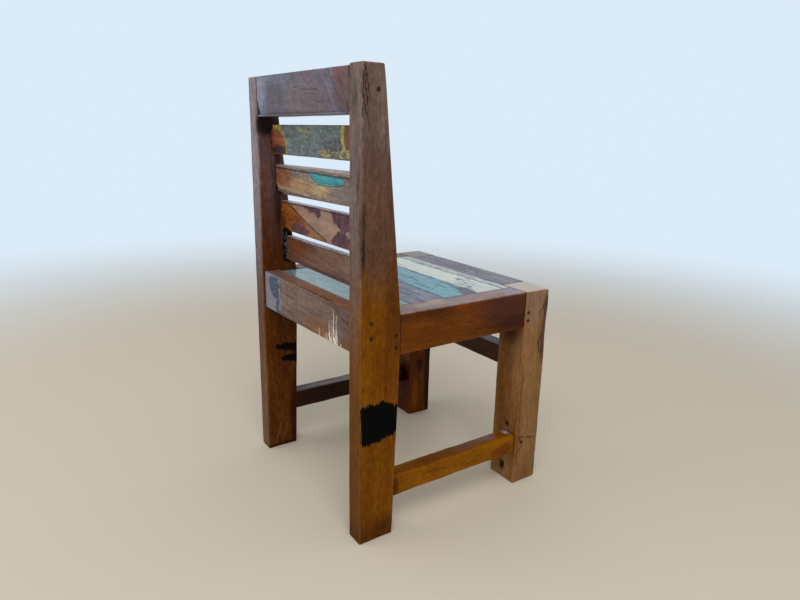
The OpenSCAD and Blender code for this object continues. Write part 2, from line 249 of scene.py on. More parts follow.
def timber(node, slot, axis, stations, **look):
    """One member. stations are (place along the axis, low corner, high corner) of its section."""
    look = SimpleNamespace(**{**PLAIN_LOOK, **look})
    seed = look.seed
    across = [k for k in (Z, Y, X) if k != axis]
    order = [axis, *across]
    place = np.array([s[0] for s in stations], float)
    low = np.array([[s[1][k] for k in across] for s in stations], float)
    high = np.array([[s[2][k] for k in across] for s in stations], float)
    sizes = (high - low).max(0)
    length = place[-1] - place[0]

    def line_places(point):
        """Where the mesh lines of the three sides pass through a point."""
        ends = [[np.interp(point[axis], place, edge[:, m]) for m in range(2)] for edge in (low, high)]
        shares = [(point[across[m]] - ends[0][m]) / (ends[1][m] - ends[0][m]) for m in range(2)]
        return point[axis] - place[0], shares[0] * sizes[0], shares[1] * sizes[1]

    fine = [[], [], []]
    for centre in look.nails:
        for side, where in zip(fine, line_places(centre)):
            side.append((where, *NAIL_LINES))
    for start, end, wide, _ in look.cracks:
        for where in (line_places(start), line_places(end)):
            for side in (1, 2):
                if abs(start[axis] - end[axis]) > 3:
                    fine[side].append((where[side], wide, CRACK_SPACING))
    grid = [mesh_lines(length, look.step, fine[0])]
    for k in range(2):
        grid.append(mesh_lines(sizes[k], look.width_step, fine[k + 1]))
    counts = [len(line) for line in grid]
    used, quads = np.unique(box_quads(counts), return_inverse=True)
    quads = quads.reshape(-1, 4)
    i, rest = np.divmod(used, counts[1] * counts[2])
    j, k = np.divmod(rest, counts[2])
    s = grid[0][i]
    share = np.stack([grid[1][j] / sizes[0], grid[2][k] / sizes[1]], 1)

    # Flat position, and the true distance to each of the six sides
    side_low = np.stack([np.interp(s + place[0], place, low[:, m]) for m in range(2)], 1)
    side_high = np.stack([np.interp(s + place[0], place, high[:, m]) for m in range(2)], 1)
    width = side_high - side_low
    flat = np.column_stack([s + place[0], side_low + share * width])
    gap_low = np.column_stack([s, share * width])
    gap_high = np.column_stack([length - s, (1 - share) * width])
    at = np.empty_like(flat)
    at[:, order] = flat

    # Rounded arrises, whose radius wanders and has dents
    (slow, slow_size), (fast, fast_size) = ARRIS_NOISE
    wander = slow * noise(at, slow_size, seed) + fast * noise(at, fast_size, seed + 1)
    radius = look.arris * (1 + wander)
    radius += look.dents * ease(noise(at, DENT_SIZE, seed + 2), 0.5, 0.95)
    for centre, radii, extra in look.worn:
        radius += extra * np.exp(-reach_of(at, centre, radii) ** 2 * 1.5)
    radius = np.clip(radius, LEAST_ARRIS, WIDEST_ARRIS * width.min(1))
    pull = np.maximum(0, radius[:, None] - gap_high) - np.maximum(0, radius[:, None] - gap_low)
    size = np.linalg.norm(pull, axis=1)
    out = pull / size[:, None]
    flat = flat - pull + out * radius[:, None]
    at[:, order] = flat
    normal = np.empty_like(out)
    normal[:, order] = out
    arris = np.sort(np.concatenate([gap_low, gap_high], 1), axis=1)[:, 1]

    # Worn surface: all of it lies inside the sawn blank
    depth = SUNK + WAVES[0] * noise(at, WAVES[1], seed + 3)
    depth += look.ridges * noise(at, along_grain(axis, *RIDGE_SIZE), seed + 4)
    dark = np.zeros(len(at))
    moved = RAGGED[0] * np.stack([noise(at, RAGGED[1], seed + 5 + m) for m in range(3)], 1)
    ragged = at + moved
    for centre, radii, deep, tinted in look.gouges:
        hollow = 1 - ease(reach_of(ragged, centre, radii), 0.35, 1)
        depth += deep * hollow
        dark = np.maximum(dark, tinted * hollow)
    for start, end, wide, deep in look.cracks:
        distance, along = segment_distance(at + BENT_CRACKS * moved, start, end)
        taper = np.sqrt(np.clip(4 * along * (1 - along), 0.02, 1))
        groove = 1 - ease(distance, 0.15 * wide, wide * (0.35 + 0.65 * taper))
        depth += deep * groove * taper
    for centre in look.nails:
        away = np.linalg.norm(at - np.array(centre), axis=1) - NAIL_RADIUS
        depth += NAIL_PIT[1] * (1 - ease(away, 0, NAIL_PIT[0]))
        dark = np.maximum(dark, NAIL_STAIN[2] * (1 - ease(away, *NAIL_STAIN[:2])))
    # A butted end gets a groove, painted dark with dirt and painted shade in the joint
    if look.butt:
        shoulder = np.minimum(s, length - s) - look.butt
        groove = 1 - ease(shoulder + 0.6 * noise(at, 9, seed + 8), 0.4, 2.4)
        depth += BUTT_GROOVE[0] * groove
        dark = np.maximum(dark, BUTT_GROOVE[1] * groove)
    if look.slope:
        depth += look.slope(at, normal)

    # Paint fields lift the surface by the paint's thickness
    fields = [paint_field(coat, ragged, normal) for coat in look.paints]
    for coat, field in zip(look.paints, fields):
        depth -= coat.thick * ease(field, -PAINT_EDGE, PAINT_EDGE)
    at = at - normal * np.maximum(depth, LEAST_SUNK)[:, None]

    # Soft stains, painted shade, painted shadows and painted highlights: each is a colour brushed on in
    # an ellipsoid
    tint = np.zeros((len(at), 4))
    soft = at + BENT_TINTS * (ragged - at)
    for colour, strength, centre, radii in look.stains:
        amount = strength * (1 - ease(reach_of(soft, centre, radii), 0.45, 1.05))
        total = amount + tint[:, 3] * (1 - amount)
        part = (amount / np.maximum(total, 1e-6))[:, None]
        tint[:, :3] += (np.array(srgb(*colour)) - tint[:, :3]) * part
        tint[:, 3] = total
    knot = np.zeros(len(at))
    for centre, radii in look.knots:
        knot = np.maximum(knot, np.exp(-reach_of(at, centre, radii) ** 2))

    name = node + "_timber"
    mesh = bpy.data.meshes.new(name)
    if sum(order[m] > order[n] for m in range(3) for n in range(m + 1, 3)) % 2:
        quads = quads[:, ::-1]
    mesh.from_pydata(at / METRE, [], quads.tolist())
    mesh.shade_smooth()
    values = {"arris": arris, "dark": dark, "knot": knot}
    values["end"] = (np.abs(normal[:, axis]) > END_FACING).astype(float)
    values.update((f"paint_{number}", field) for number, field in enumerate(fields))
    for key, value in values.items():
        mesh.attributes.new(key, "FLOAT", "POINT").data.foreach_set("value", value)
    mesh.attributes.new("tint", "FLOAT_COLOR", "POINT").data.foreach_set("color", tint.ravel())
    piece = bpy.data.objects.new(name, mesh)
    bpy.context.scene.collection.objects.link(piece)
    mesh.materials.append(old_wood(name, axis, look, at.min(0), at.max(0)))
    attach(piece, "root")
    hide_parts(node)


# ---------------------------------------------------------------- shaders


class Shader:
    """The nodes of a material or a world, and short calls that add to them."""

    def __init__(self, block):
        self.block = block
        block.use_nodes = True
        self.tree = block.node_tree
        self.tree.nodes.clear()

    def add(self, kind, inputs=(), **settings):
        node = self.tree.nodes.new("ShaderNode" + kind)
        for key, value in settings.items():
            setattr(node, key, value)
        for key, value in dict(inputs).items():
            if isinstance(value, bpy.types.NodeSocket):
                self.tree.links.new(value, node.inputs[key])
            else:
                node.inputs[key].default_value = value
        return node

    def math(self, operation, *values, clamp=False):
        return self.add("Math", enumerate(values), operation=operation, use_clamp=clamp).outputs[0]

    def product(self, one, two, three=None):
        """one times two, plus three if there is one."""
        if three is None:
            return self.math("MULTIPLY", one, two)
        return self.math("MULTIPLY_ADD", one, two, three)

    def vector(self, operation, *values, output=0):
        return self.add("VectorMath", enumerate(values), operation=operation).outputs[output]

    def ease(self, value, low, high, start=0.0, end=1.0):
        return self.add("MapRange", {"Value": value, "From Min": low, "From Max": high,
            "To Min": start, "To Max": end}, interpolation_type="SMOOTHSTEP").outputs[0]

    def mix(self, amount, one, two, blend="MIX"):
        one, two = [(*c[:3], 1) if isinstance(c, tuple) else c for c in (one, two)]
        return self.add("Mix", {0: amount, 6: one, 7: two}, data_type="RGBA",
            blend_type=blend).outputs[2]

    def noise(self, place, scale, detail, rough):
        return self.add("TexNoise", {"Vector": place, "Scale": scale, "Detail": detail,
            "Roughness": rough}).outputs[0]

    def stretched_noise(self, place, sizes, detail, rough):
        """Noise whose features have the given size in millimetres along each axis."""
        scale = [METRE / size for size in sizes]
        return self.noise(self.vector("MULTIPLY", place, scale), 1.0, detail, rough)

    def attribute(self, name):
        return self.add("Attribute", attribute_name=name).outputs["Fac"]

    def ramp(self, value, *stops):
        node = self.add("ValToRGB", {0: value})
        points = node.color_ramp.elements
        while len(points) < len(stops):
            points.new(0.5)
        for point, (position, colour) in zip(points, stops):
            point.position = position
            point.color = (*colour, 1)
        return node.outputs[0]

    def stroke(self, place, start, end, wide, end_wide):
        """1 on a thin line between two places and 0 beside it, with a half width at each end."""
        side = end - start
        to = self.vector("SUBTRACT", place, start)
        along = self.vector("DOT_PRODUCT", to, side / (side @ side), output="Value")
        along = self.math("ADD", along, 0.0, clamp=True)
        foot = self.add("VectorMath", {0: side, 3: along}, operation="SCALE").outputs[0]
        away = self.vector("DISTANCE", to, foot, output="Value")
        reach = self.product(along, (end_wide - wide) / METRE, wide / METRE)
        return self.ease(self.math("DIVIDE", away, reach), 0.45, 1.1, 1.0, 0.0)

    def finish(self, colour, rough, height, distance, bump, **surface):
        """Ends a material with a bumpy surface, and returns it."""
        normal = self.add("Bump", {"Strength": bump, "Distance": distance, "Height": height})
        inputs = {"Base Color": colour, "Roughness": rough, "Normal": normal.outputs[0]}
        inputs.update((key.replace("_", " "), value) for key, value in surface.items())
        surface = self.add("BsdfPrincipled", inputs).outputs[0]
        self.add("OutputMaterial", {"Surface": surface})
        return self.block


CRACK_COLOUR = (20, 14, 12)
CRACK_WIDTHS = (0.45, 0.2)  # half widths of a crack's line at its two ends, as shares of its width
GRIME_AND_SHADE = (24, 15, 10)
RING_WANDER, KNOT_PUSH = 0.03, 0.014  # metres
SHIFT, SHIFT_REPEAT = (0.37, 0.53, 0.71), (1.7, 1.9, 1.3)  # metres, so that no two timbers match
PAINT_RAGGED = 4  # millimetres for each unit of torn and combed
LINE_WOBBLE = (0.0045,) * 3  # metres
FACE_WEIGHT = 0.15  # a thin line counts this much of the depth under its face
LINE_STRENGTH = 0.9


def growth_rings(n, place, axis, look, shift):
    """Rings round a pith that leans and wanders."""
    split = n.add("SeparateXYZ", {0: place}).outputs
    wander = n.stretched_noise(place, along_grain(axis, 260, 70), 2.0, 0.55)
    squares = []
    for k, pith in zip([k for k in range(3) if k != axis], look.pith):
        centre = n.product(split[axis], look.lean, shift[k] + pith / METRE)
        sideways = n.math("SUBTRACT", split[k], centre)
        squares.append(n.product(sideways, sideways))
    ring = n.math("SQRT", n.math("ADD", *squares))
    ring = n.product(wander, RING_WANDER, ring)
    ring = n.product(n.attribute("knot"), KNOT_PUSH, ring)
    return n.add("TexNoise", {"W": ring, "Scale": METRE / look.ring, "Detail": 3.0,
        "Roughness": 0.6}, noise_dimensions="1D").outputs[0]


def old_wood(name, axis, look, low, high):
    """Varnished old timber with growth rings, pores, stains, paint remains and dirt, and with painted
    shade, shadows, highlights and reflections.

    low and high are the corners of the timber's mesh in millimetres.
    """
    n = Shader(bpy.data.materials.new(name + "_finish"))
    dark, mid, light = [srgb(*tone) for tone in look.tones]
    true_place = n.add("TexCoord").outputs["Object"]
    shift = [step * look.seed % repeat for step, repeat in zip(SHIFT, SHIFT_REPEAT)]
    place = n.vector("ADD", true_place, shift)

    def grain(along, across, detail, rough):
        return n.stretched_noise(place, along_grain(axis, along, across), detail, rough)

    rings = growth_rings(n, place, axis, look, shift)
    fibre = grain(28, 1.3, 4.0, 0.65)
    cloud = grain(110, 30, 3.0, 0.6)
    mottle = grain(9, 4.5, 5.0, 0.7)
    tone = n.product(rings, look.figure, -0.35)
    tone = n.product(fibre, look.fibres, tone)
    tone = n.math("ADD", tone, (0.55 - look.fibres) / 2)
    tone = n.product(cloud, 0.6, tone)
    tone = n.product(n.math("SUBTRACT", mottle, 0.5), look.mottle, tone)
    wood = n.ramp(tone, (0.18, dark), (0.45, mid), (0.72, light))
    # The tint holds stains, and also painted shade, shadows, highlights and reflections
    tint = n.add("Attribute", attribute_name="tint").outputs
    tinted = n.mix(1.0, tint["Color"], n.ease(tone, 0.15, 0.75, 0.62, 1.35), "MULTIPLY")
    wood = n.mix(tint["Alpha"], wood, tinted)
    flecks = n.product(n.ease(grain(15, 1.7, 3.0, 0.6), 0.62, 0.72), look.dashes)
    wood = n.mix(flecks, wood, darker(dark, 0.5))
    pits = n.ease(grain(9, 0.75, 2.0, 0.6), 0.6, 0.74)
    wood = n.mix(n.product(pits, look.pore), wood, darker(dark, 0.25))

    # Worn arrises are paler, knots and end grain darker
    rub = n.stretched_noise(place, (7, 7, 7), 4.0, 0.6)
    worn = n.ease(n.product(rub, -6.0, n.attribute("arris")), -2.6, -0.6, 1.0, 0.0)
    edge_colour = srgb(*look.edge) if look.edge else darker(mid, 1.7)
    wood = n.mix(n.product(worn, look.rubbed), wood, edge_colour)
    heart = n.ease(n.attribute("knot"), 0.55, 0.95)
    wood = n.mix(n.product(heart, 0.8), wood, darker(dark, 0.45))
    end_colour = srgb(*look.end_colour) if look.end_colour else dark
    wood = n.mix(n.product(n.attribute("end"), look.end_mix), wood, end_colour)
    rough = n.product(cloud, 0.2, 0.3)
    rough = n.product(pits, 0.2, rough)
    height = n.product(fibre, 0.25, n.product(pits, -0.7))
    height = n.product(rings, 0.2, height)

    # Paint, coat by coat
    chips = n.stretched_noise(place, (3.2, 3.2, 3.2), 4.0, 0.65)
    brushed = grain(30, 1.6, 3.0, 0.6)
    for number, coat in enumerate(look.paints):
        field = n.attribute(f"paint_{number}")
        torn, combed = coat.torn * PAINT_RAGGED, coat.combed * PAINT_RAGGED
        edge = n.product(chips, torn, -(torn + combed) / 2)
        edge = n.math("ADD", n.product(brushed, combed, edge), field)
        cover = n.ease(edge, -0.25, 0.35)
        if coat.holes:
            lost = n.ease(grain(*coat.hole_size, 4.0, 0.62), coat.holes, coat.holes + 0.06)
            cover = n.product(cover, n.math("SUBTRACT", 1.0, lost))
        one, two = [srgb(*colour) for colour in coat.colours]
        colour = n.mix(n.ease(grain(*coat.streak, 4.0, 0.6), 0.35, 0.65), one, two)
        colour = n.mix(n.product(pits, coat.pitted), colour, darker(one, 0.3))
        for speck, level, size in coat.specks:
            fine = grain(*size, 5.0, 0.7)
            colour = n.mix(n.ease(fine, level, level + 0.08), colour, srgb(*speck))
        wood = n.mix(n.product(cover, coat.opacity), wood, colour)
        if coat.rim:
            rim = n.ease(n.math("ABSOLUTE", edge), 0.3, 0.9, 0.8, 0.0)
            wood = n.mix(rim, wood, srgb(*coat.rim))
        rough = n.add("Mix", {0: cover, 2: rough, 3: coat.rough}).outputs[0]
        height = n.product(cover, coat.lift, height)

    # Thin lines: cracks, scratches, streaks of paint, and painted shade where slats meet a post
    wobble = n.add("TexNoise", {"Vector": place, "Scale": 160.0, "Detail": 3.0}).outputs[1]
    wobble = n.vector("SUBTRACT", wobble, (0.5,) * 3)
    bent = n.vector("MULTIPLY_ADD", wobble, LINE_WOBBLE, true_place)
    flats = []
    for axis_out in range(3):
        weight = np.ones(3)
        weight[axis_out] = FACE_WEIGHT
        flats.append((n.vector("MULTIPLY", bent, weight), weight / METRE))
    cracks = [(CRACK_COLOUR, start, end, *[share * wide for share in CRACK_WIDTHS])
        for start, end, wide, _ in look.cracks]
    for colour, start, end, wide, end_wide in [*cracks, *look.strokes]:
        start, end = np.array(start, float), np.array(end, float)
        off = [min(abs(start[k] - low[k]), abs(start[k] - high[k])) + abs(start[k] - end[k])
            for k in range(3)]
        flat, weight = flats[int(np.argmin(off))]
        line = n.stroke(flat, start * weight, end * weight, wide, end_wide)
        wood = n.mix(n.product(line, LINE_STRENGTH), wood, srgb(*colour))

    # Dirt in gouges and nail holes, and dirt with painted shade in the joints at butted ends
    grime_and_shade = n.product(n.attribute("dark"), n.ease(rub, 0.2, 0.6, 0.75, 1.0))
    wood = n.mix(grime_and_shade, wood, srgb(*GRIME_AND_SHADE))
    rough = n.math("MULTIPLY_ADD", grime_and_shade, 0.4, rough, clamp=True)
    return n.finish(wood, rough, height, 0.0004, 0.5, Specular_IOR_Level=look.gloss)


def rusty_steel():
    n = Shader(bpy.data.materials.new("rusty_steel"))
    blotch = n.noise(n.add("TexCoord").outputs["Object"], 900.0, 4.0, 0.6)
    colour = n.ramp(blotch, (0.35, srgb(22, 17, 15)), (0.55, srgb(44, 34, 28)),
        (0.7, srgb(90, 62, 44)))
    rough = n.ease(blotch, 0.3, 0.7, 0.6, 0.85)
    return n.finish(colour, rough, blotch, 0.0003, 0.5, Metallic=0.2, Specular_IOR_Level=0.25)


# ---------------------------------------------------------------- camera, lights and floor

CAMERA_AT = (-0.766, 0.519, 0.530)
CAMERA_HEADING = -124.50
CAMERA_PITCH = -15.43
CAMERA_ROLL = 1.28
CAMERA_LENS = 27.74
SENSOR_WIDTH = 36

FLOOR_COLOUR = (0.72, 0.62, 0.49)
FLOOR_RADIUS = 2.5
FLOOR_SIDES = 64
FADE_FROM, FADE_TO = 0.75, 2.4  # distances from the chair between which the floor fades out
BACKGROUND = (0.71, 0.83, 0.94)
SKY_COLOUR = (0.90, 0.96, 1.0)
SKY_STRENGTH = 0.55
LAMP_AIM = Vector((0, 0, 0.28))
LAMPS = (  # name, place, size, watts
    ("key", (-1.5, 0.9, 1.9), 1.6, 26),
    ("side", (0.9, 1.9, 1.1), 1.6, 9),
)


def link(name, data):
    """A new object of the given data, in the scene."""
    holder = bpy.data.objects.new(name, data)
    bpy.context.scene.collection.objects.link(holder)
    return holder


def add_camera():
    data = bpy.data.cameras.new("camera")
    data.lens = CAMERA_LENS
    data.sensor_width = SENSOR_WIDTH
    camera = link("camera", data)
    turn = Matrix.Rotation(math.radians(CAMERA_HEADING), 4, "Z")
    turn @= Matrix.Rotation(math.radians(90 + CAMERA_PITCH), 4, "X")
    turn @= Matrix.Rotation(math.radians(CAMERA_ROLL), 4, "Z")
    camera.matrix_world = Matrix.Translation(CAMERA_AT) @ turn
    bpy.context.scene.camera = camera
    bpy.context.scene.view_settings.view_transform = "Standard"


def add_lamp(name, place, size, watts):
    lamp = bpy.data.lights.new(name, "AREA")
    lamp.size = size
    lamp.energy = watts
    holder = link(name, lamp)
    holder.location = place
    holder.rotation_euler = (LAMP_AIM - Vector(place)).to_track_quat("-Z", "Y").to_euler()


def add_world():
    """A soft light from all round, with the plain backdrop where the camera sees it."""
    n = Shader(bpy.data.worlds.new("studio"))
    bpy.context.scene.world = n.block
    ray = n.add("LightPath").outputs
    seen = n.math("MAXIMUM", ray["Is Camera Ray"], ray["Is Glossy Ray"])
    seen = n.math("MAXIMUM", seen, ray["Is Transmission Ray"])
    soft = n.add("Background", {0: (*SKY_COLOUR, 1), 1: SKY_STRENGTH}).outputs[0]
    pale = n.add("Background", {0: (*BACKGROUND, 1), 1: 1.0}).outputs[0]
    mixed = n.add("MixShader", {0: seen, 1: soft, 2: pale}).outputs[0]
    n.add("OutputWorld", {0: mixed})


def add_floor():
    """A pale floor that fades into the background away from the chair."""
    n = Shader(bpy.data.materials.new("pale_floor"))
    away = n.vector("LENGTH", n.add("TexCoord").outputs["Object"], output="Value")
    matt = n.add("BsdfPrincipled", {"Base Color": (*FLOOR_COLOUR, 1), "Roughness": 0.9,
        "Specular IOR Level": 0.1}).outputs[0]
    clear = n.add("BsdfTransparent").outputs[0]
    mixed = n.add("MixShader", {0: n.ease(away, FADE_FROM, FADE_TO), 1: matt, 2: clear}).outputs[0]
    n.add("OutputMaterial", {"Surface": mixed})
    mesh = bpy.data.meshes.new("floor")
    turns = np.linspace(0, 2 * math.pi, FLOOR_SIDES + 1)[:-1]
    ring = [(FLOOR_RADIUS * math.cos(a), FLOOR_RADIUS * math.sin(a), 0) for a in turns]
    mesh.from_pydata(ring, [], [list(range(FLOOR_SIDES))])
    mesh.materials.append(n.block)
    floor = link("floor", mesh)


add_camera()
add_world()
add_floor()
for lamp in LAMPS:
    add_lamp(*lamp)

# ---------------------------------------------------------------- members

RUN_IN = 1.5  # a butted end reaches this far into the member that it meets
STRETCHER_RUN_IN = 4
TOP_SLOPE_HEIGHT = 23
TOP_SLOPE_DEPTH = 5

# Faces that the members share
post_right_low, post_right_high = box_mm("post_right")
post_left_low, post_left_high = box_mm("post_left")
leg_right_high = box_mm("front_leg_right")[1]
leg_gap = leg_right_high[X] - RUN_IN, box_mm("front_leg_left")[0][X] + RUN_IN
leg_back = leg_right_high[Y]
right_side = post_right_low[X]
post_back = post_right_high[Y]
post_in = post_left_low[X]
seat_top = box_mm("seat_board_1")[1][Z]
apron_low, apron_side = box_mm("apron_right")[0][[Z, X]]
low_rail_back = box_mm("back_rail")[1][Y]
top_rail_back = box_mm("top_rail")[1][Y]
top_rail_slope = top_rail_back - 2  # for the lines on the slope along the rail's lower edge
slat_backs = [box_mm(f"back_slat_{number}")[1][Y] for number in (1, 2, 3, 4)]
board_low, board_high = box_mm("seat_board_2")


def lines(axis, level, *rows):
    """Bent thin lines on the face at a level along an axis.

    A row is a colour, a half width or one for each end, and the two other coordinates of each point.
    """
    found = []
    for colour, wide, *points in rows:
        one, two = wide if isinstance(wide, tuple) else (wide, wide)
        places = [np.insert(np.array(point, float), axis, level) for point in points]
        found += [(colour, a, b, one, two) for a, b in zip(places, places[1:])]
    return found


def dashes(colour, wide, axis, level, *places):
    """Short upright dashes on a face, one (across, high end, length) for each."""
    return lines(axis, level, *[(colour, wide, (across, high), (across - 0.4, high - length))
        for across, high, length in places])


def post_stations(node):
    low, high = box_mm(node)
    places = []
    for z in (0.0, apron_low, seat_top, high[Z]):
        front = np.array(low)
        front[Y] = cad_section(node, Z, z)[0][Y] if z in (0.0, high[Z]) else low[Y]
        places.append((z, front, high))
    return places


def cross_stations(node, shoulder=None):
    """A board along X between two shoulders, or to its own ends, which differ in height."""
    run_in = RUN_IN if shoulder else 0
    shoulder = shoulder or box_mm(node)[1][X]
    (low0, high0), (low1, high1) = [cad_section(node, X, side * shoulder) for side in (-1, 1)]
    grow = run_in / (2 * shoulder)
    return [(-shoulder - run_in, low0 + (low0 - low1) * grow, high0 + (high0 - high1) * grow),
        (shoulder + run_in, low1 + (low1 - low0) * grow, high1 + (high1 - high0) * grow)]


def box_stations(node, axis, start=None, end=None):
    low, high = box_mm(node)
    return [(low[axis] if start is None else start, low, high),
        (high[axis] if end is None else end, low, high)]


def side_stations(node, run_in=RUN_IN):
    """A rail along Y from a front leg to a rear post."""
    low, high = box_mm(node)
    end = cad_section("post_right", Z, 0.0)[0][Y] if high[Z] < apron_low / 2 else post_right_low[Y]
    return [(leg_back - run_in, low, high), (end + run_in, low, high)]


def top_highlight(node, colour, strength, above, deep):
    """Two pale patches of painted highlight along the top edge of a slat, which slopes from side to
    side.
    """
    (x0, low, high0), (x1, _, high1) = cross_stations(node)
    y = (low[Y] + high0[Y]) / 2
    tops = [(x0 + (x1 - x0) * share, high0[Z] + (high1[Z] - high0[Z]) * share)
        for share in (0.23, 0.77)]
    return [(colour, strength, (x, y, z + above), (115, 30, deep)) for x, z in tops]


def nail_spots(*nodes):
    """Where the nails' heads are, one (x, y, z) on the wood for each nail."""
    spots = []
    for node in nodes:
        points = cad_points(node)
        for point in points:
            side = math.copysign(post_left_high[X], point[X])
            if abs(side - point[X]) > 8:
                continue
            if all(abs(side - x) + math.hypot(point[Y] - y, point[Z] - z) > 6 for x, y, z in spots):
                group = points[np.linalg.norm(points - point, axis=1) < 6]
                middle = (group.min(0) + group.max(0)) / 2
                spots.append((side, middle[Y], middle[Z]))
    return spots


NAILS = nail_spots("tenon_nails", "rail_nails")


def nails_of(node):
    low, high = box_mm(node)
    return [spot for spot in NAILS if all(low[k] - 1 < spot[k] < high[k] + 1 for k in range(3))]


def slat(number, slot, **look):
    node = f"back_slat_{number}"
    # A small butt gives the slat's ends a groove with painted shade where they meet the posts
    timber(node, slot, X, cross_stations(node), seed=15 + number, butt=0.1, gloss=0.15, **look)


def seat_board(number, slot, **look):
    node = f"seat_board_{number}"
    timber(node, slot, X, box_stations(node, X, board_low[X], board_high[X]), seed=24 + number,
        tones=BOARD_WOOD, arris=1.0, dents=0.8, ridges=0.12, gloss=0.45, **look)


# Rear posts
timber("post_right", "post_wood", Z, post_stations("post_right"), seed=11,
    tones=((100, 57, 0), (124, 74, 0), (142, 90, 0)), gloss=0.06, pith=(70, 45), ring=6, lean=0.03,
    figure=0.22, fibres=0.25, pore=0.4, nails=nails_of("post_right"), edge=(134, 100, 64), mottle=0.9,
    dashes=0.8,
    worn=(((-151, 136, 0), (60, 60, 16), 1.0), ((-151, 147, 600), (60, 60, 12), 0.8)),
    cracks=(((-165, 157, 600), (-165, 156, 586), 1.2, 1.0),
        ((-165, 150, 600), (-165, 149.5, 590), 1, 0.8),
        ((-165, 157.5, 224), (-165, 157.5, 213), 1, 0.6),
        ((-165, 124, 215), (-165, 123.5, 200), 1, 0.5)),
    knots=(((-165, 118, 470), (4, 3, 7)),), strokes=[
    *dashes((46, 34, 30), 0.8, X, right_side, (158, 596, 12), (160, 590, 14), (155.5, 588, 10),
        (157.5, 582, 12), (160.5, 574, 12), (153.5, 578, 8), (156, 572, 14), (159, 566, 10),
        (154.5, 564, 9), (157, 556, 10), (160.5, 552, 8), (155, 548, 5)),
    *dashes((66, 50, 44), 0.6, X, right_side, (148, 590, 8), (161, 530, 10), (152, 540, 7),
        (146, 560, 7), (160, 508, 9), (157, 490, 8)),
    *lines(X, right_side, ((56, 40, 34), (0.9, 0.3), (157.5, 448), (156.5, 414)),
        ((40, 30, 28), (1.5, 0.5), (158.5, 406), (157.5, 374)),
        ((58, 34, 20), (0.6, 0.2), (130, 540), (129, 500)),
        ((58, 34, 20), (0.5, 0.2), (121, 455), (120, 430)),
        ((60, 32, 6), (0.5, 0.2), (132, 120), (132, 90)),
        ((60, 32, 6), (0.5, 0.2), (144, 66), (144, 48)),
        ((60, 32, 6), (0.5, 0.2), (118, 50), (118, 34))),
    *dashes((76, 60, 52), 0.8, Y, post_back, (-141, 588, 40), (-146, 566, 26), (-153, 530, 30),
        (-143, 500, 26), (-157, 474, 30), (-148, 440, 22), (-140, 400, 30), (-154, 352, 26)),
    *lines(Y, post_back, ((74, 56, 46), (0.6, 0.2), (-150, 420), (-151, 380)),
        ((74, 56, 46), (0.6, 0.2), (-145, 300), (-145, 270)),
        ((60, 36, 16), (0.6, 0.2), (-156, 210), (-156, 190))),
], stains=(
    # This and the next: faded varnish and a painted reflection of a bright room, greyer towards the top
    ((116, 95, 88), 0.92, (-165, 140, 640), (40, 70, 290)),
    ((98, 70, 56), 0.75, (-165, 134, 425), (24, 50, 110)),
    ((84, 46, 20), 0.6, (-165, 112, 330), (24, 18, 90)),
    ((108, 66, 12), 0.85, (-150, 166, 130), (40, 9, 260)),
    # Faded varnish and a painted reflection of a bright room, greyer towards the top
    ((126, 106, 100), 0.95, (-150, 166, 540), (40, 9, 360)),
    ((86, 70, 62), 0.7, (-151, 166, 562), (9, 9, 24)),
    ((138, 118, 108), 0.7, (-144, 166, 520), (7, 9, 28)),
    ((84, 66, 58), 0.6, (-158, 166, 470), (7, 9, 32)),
    ((62, 46, 42), 0.7, (-165, 159.5, 412), (8, 5, 44)),
    ((56, 46, 48), 0.85, (-165, 159, 386), (8, 4, 20)),
    ((72, 52, 44), 0.4, (-165, 156, 572), (8, 8, 38)),
    ((70, 38, 10), 0.7, (-150, 130, -4), (60, 70, 50)),
    ((104, 54, 4), 0.6, (-165, 118, 240), (20, 18, 60)),
), paints=(
    paint(((4, 4, 2), (9, 8, 6)), (("-x", ((160.5, 197), (145, 197), (127, 198), (107, 190), (100, 190),
            (100, 151), (108, 151), (125, 146), (157, 142), (160.5, 145))),), rough=0.8, torn=1.0,
        combed=5.0, lift=0.3, specks=(((96, 52, 8), 0.7, (9, 1.6)),)),
))
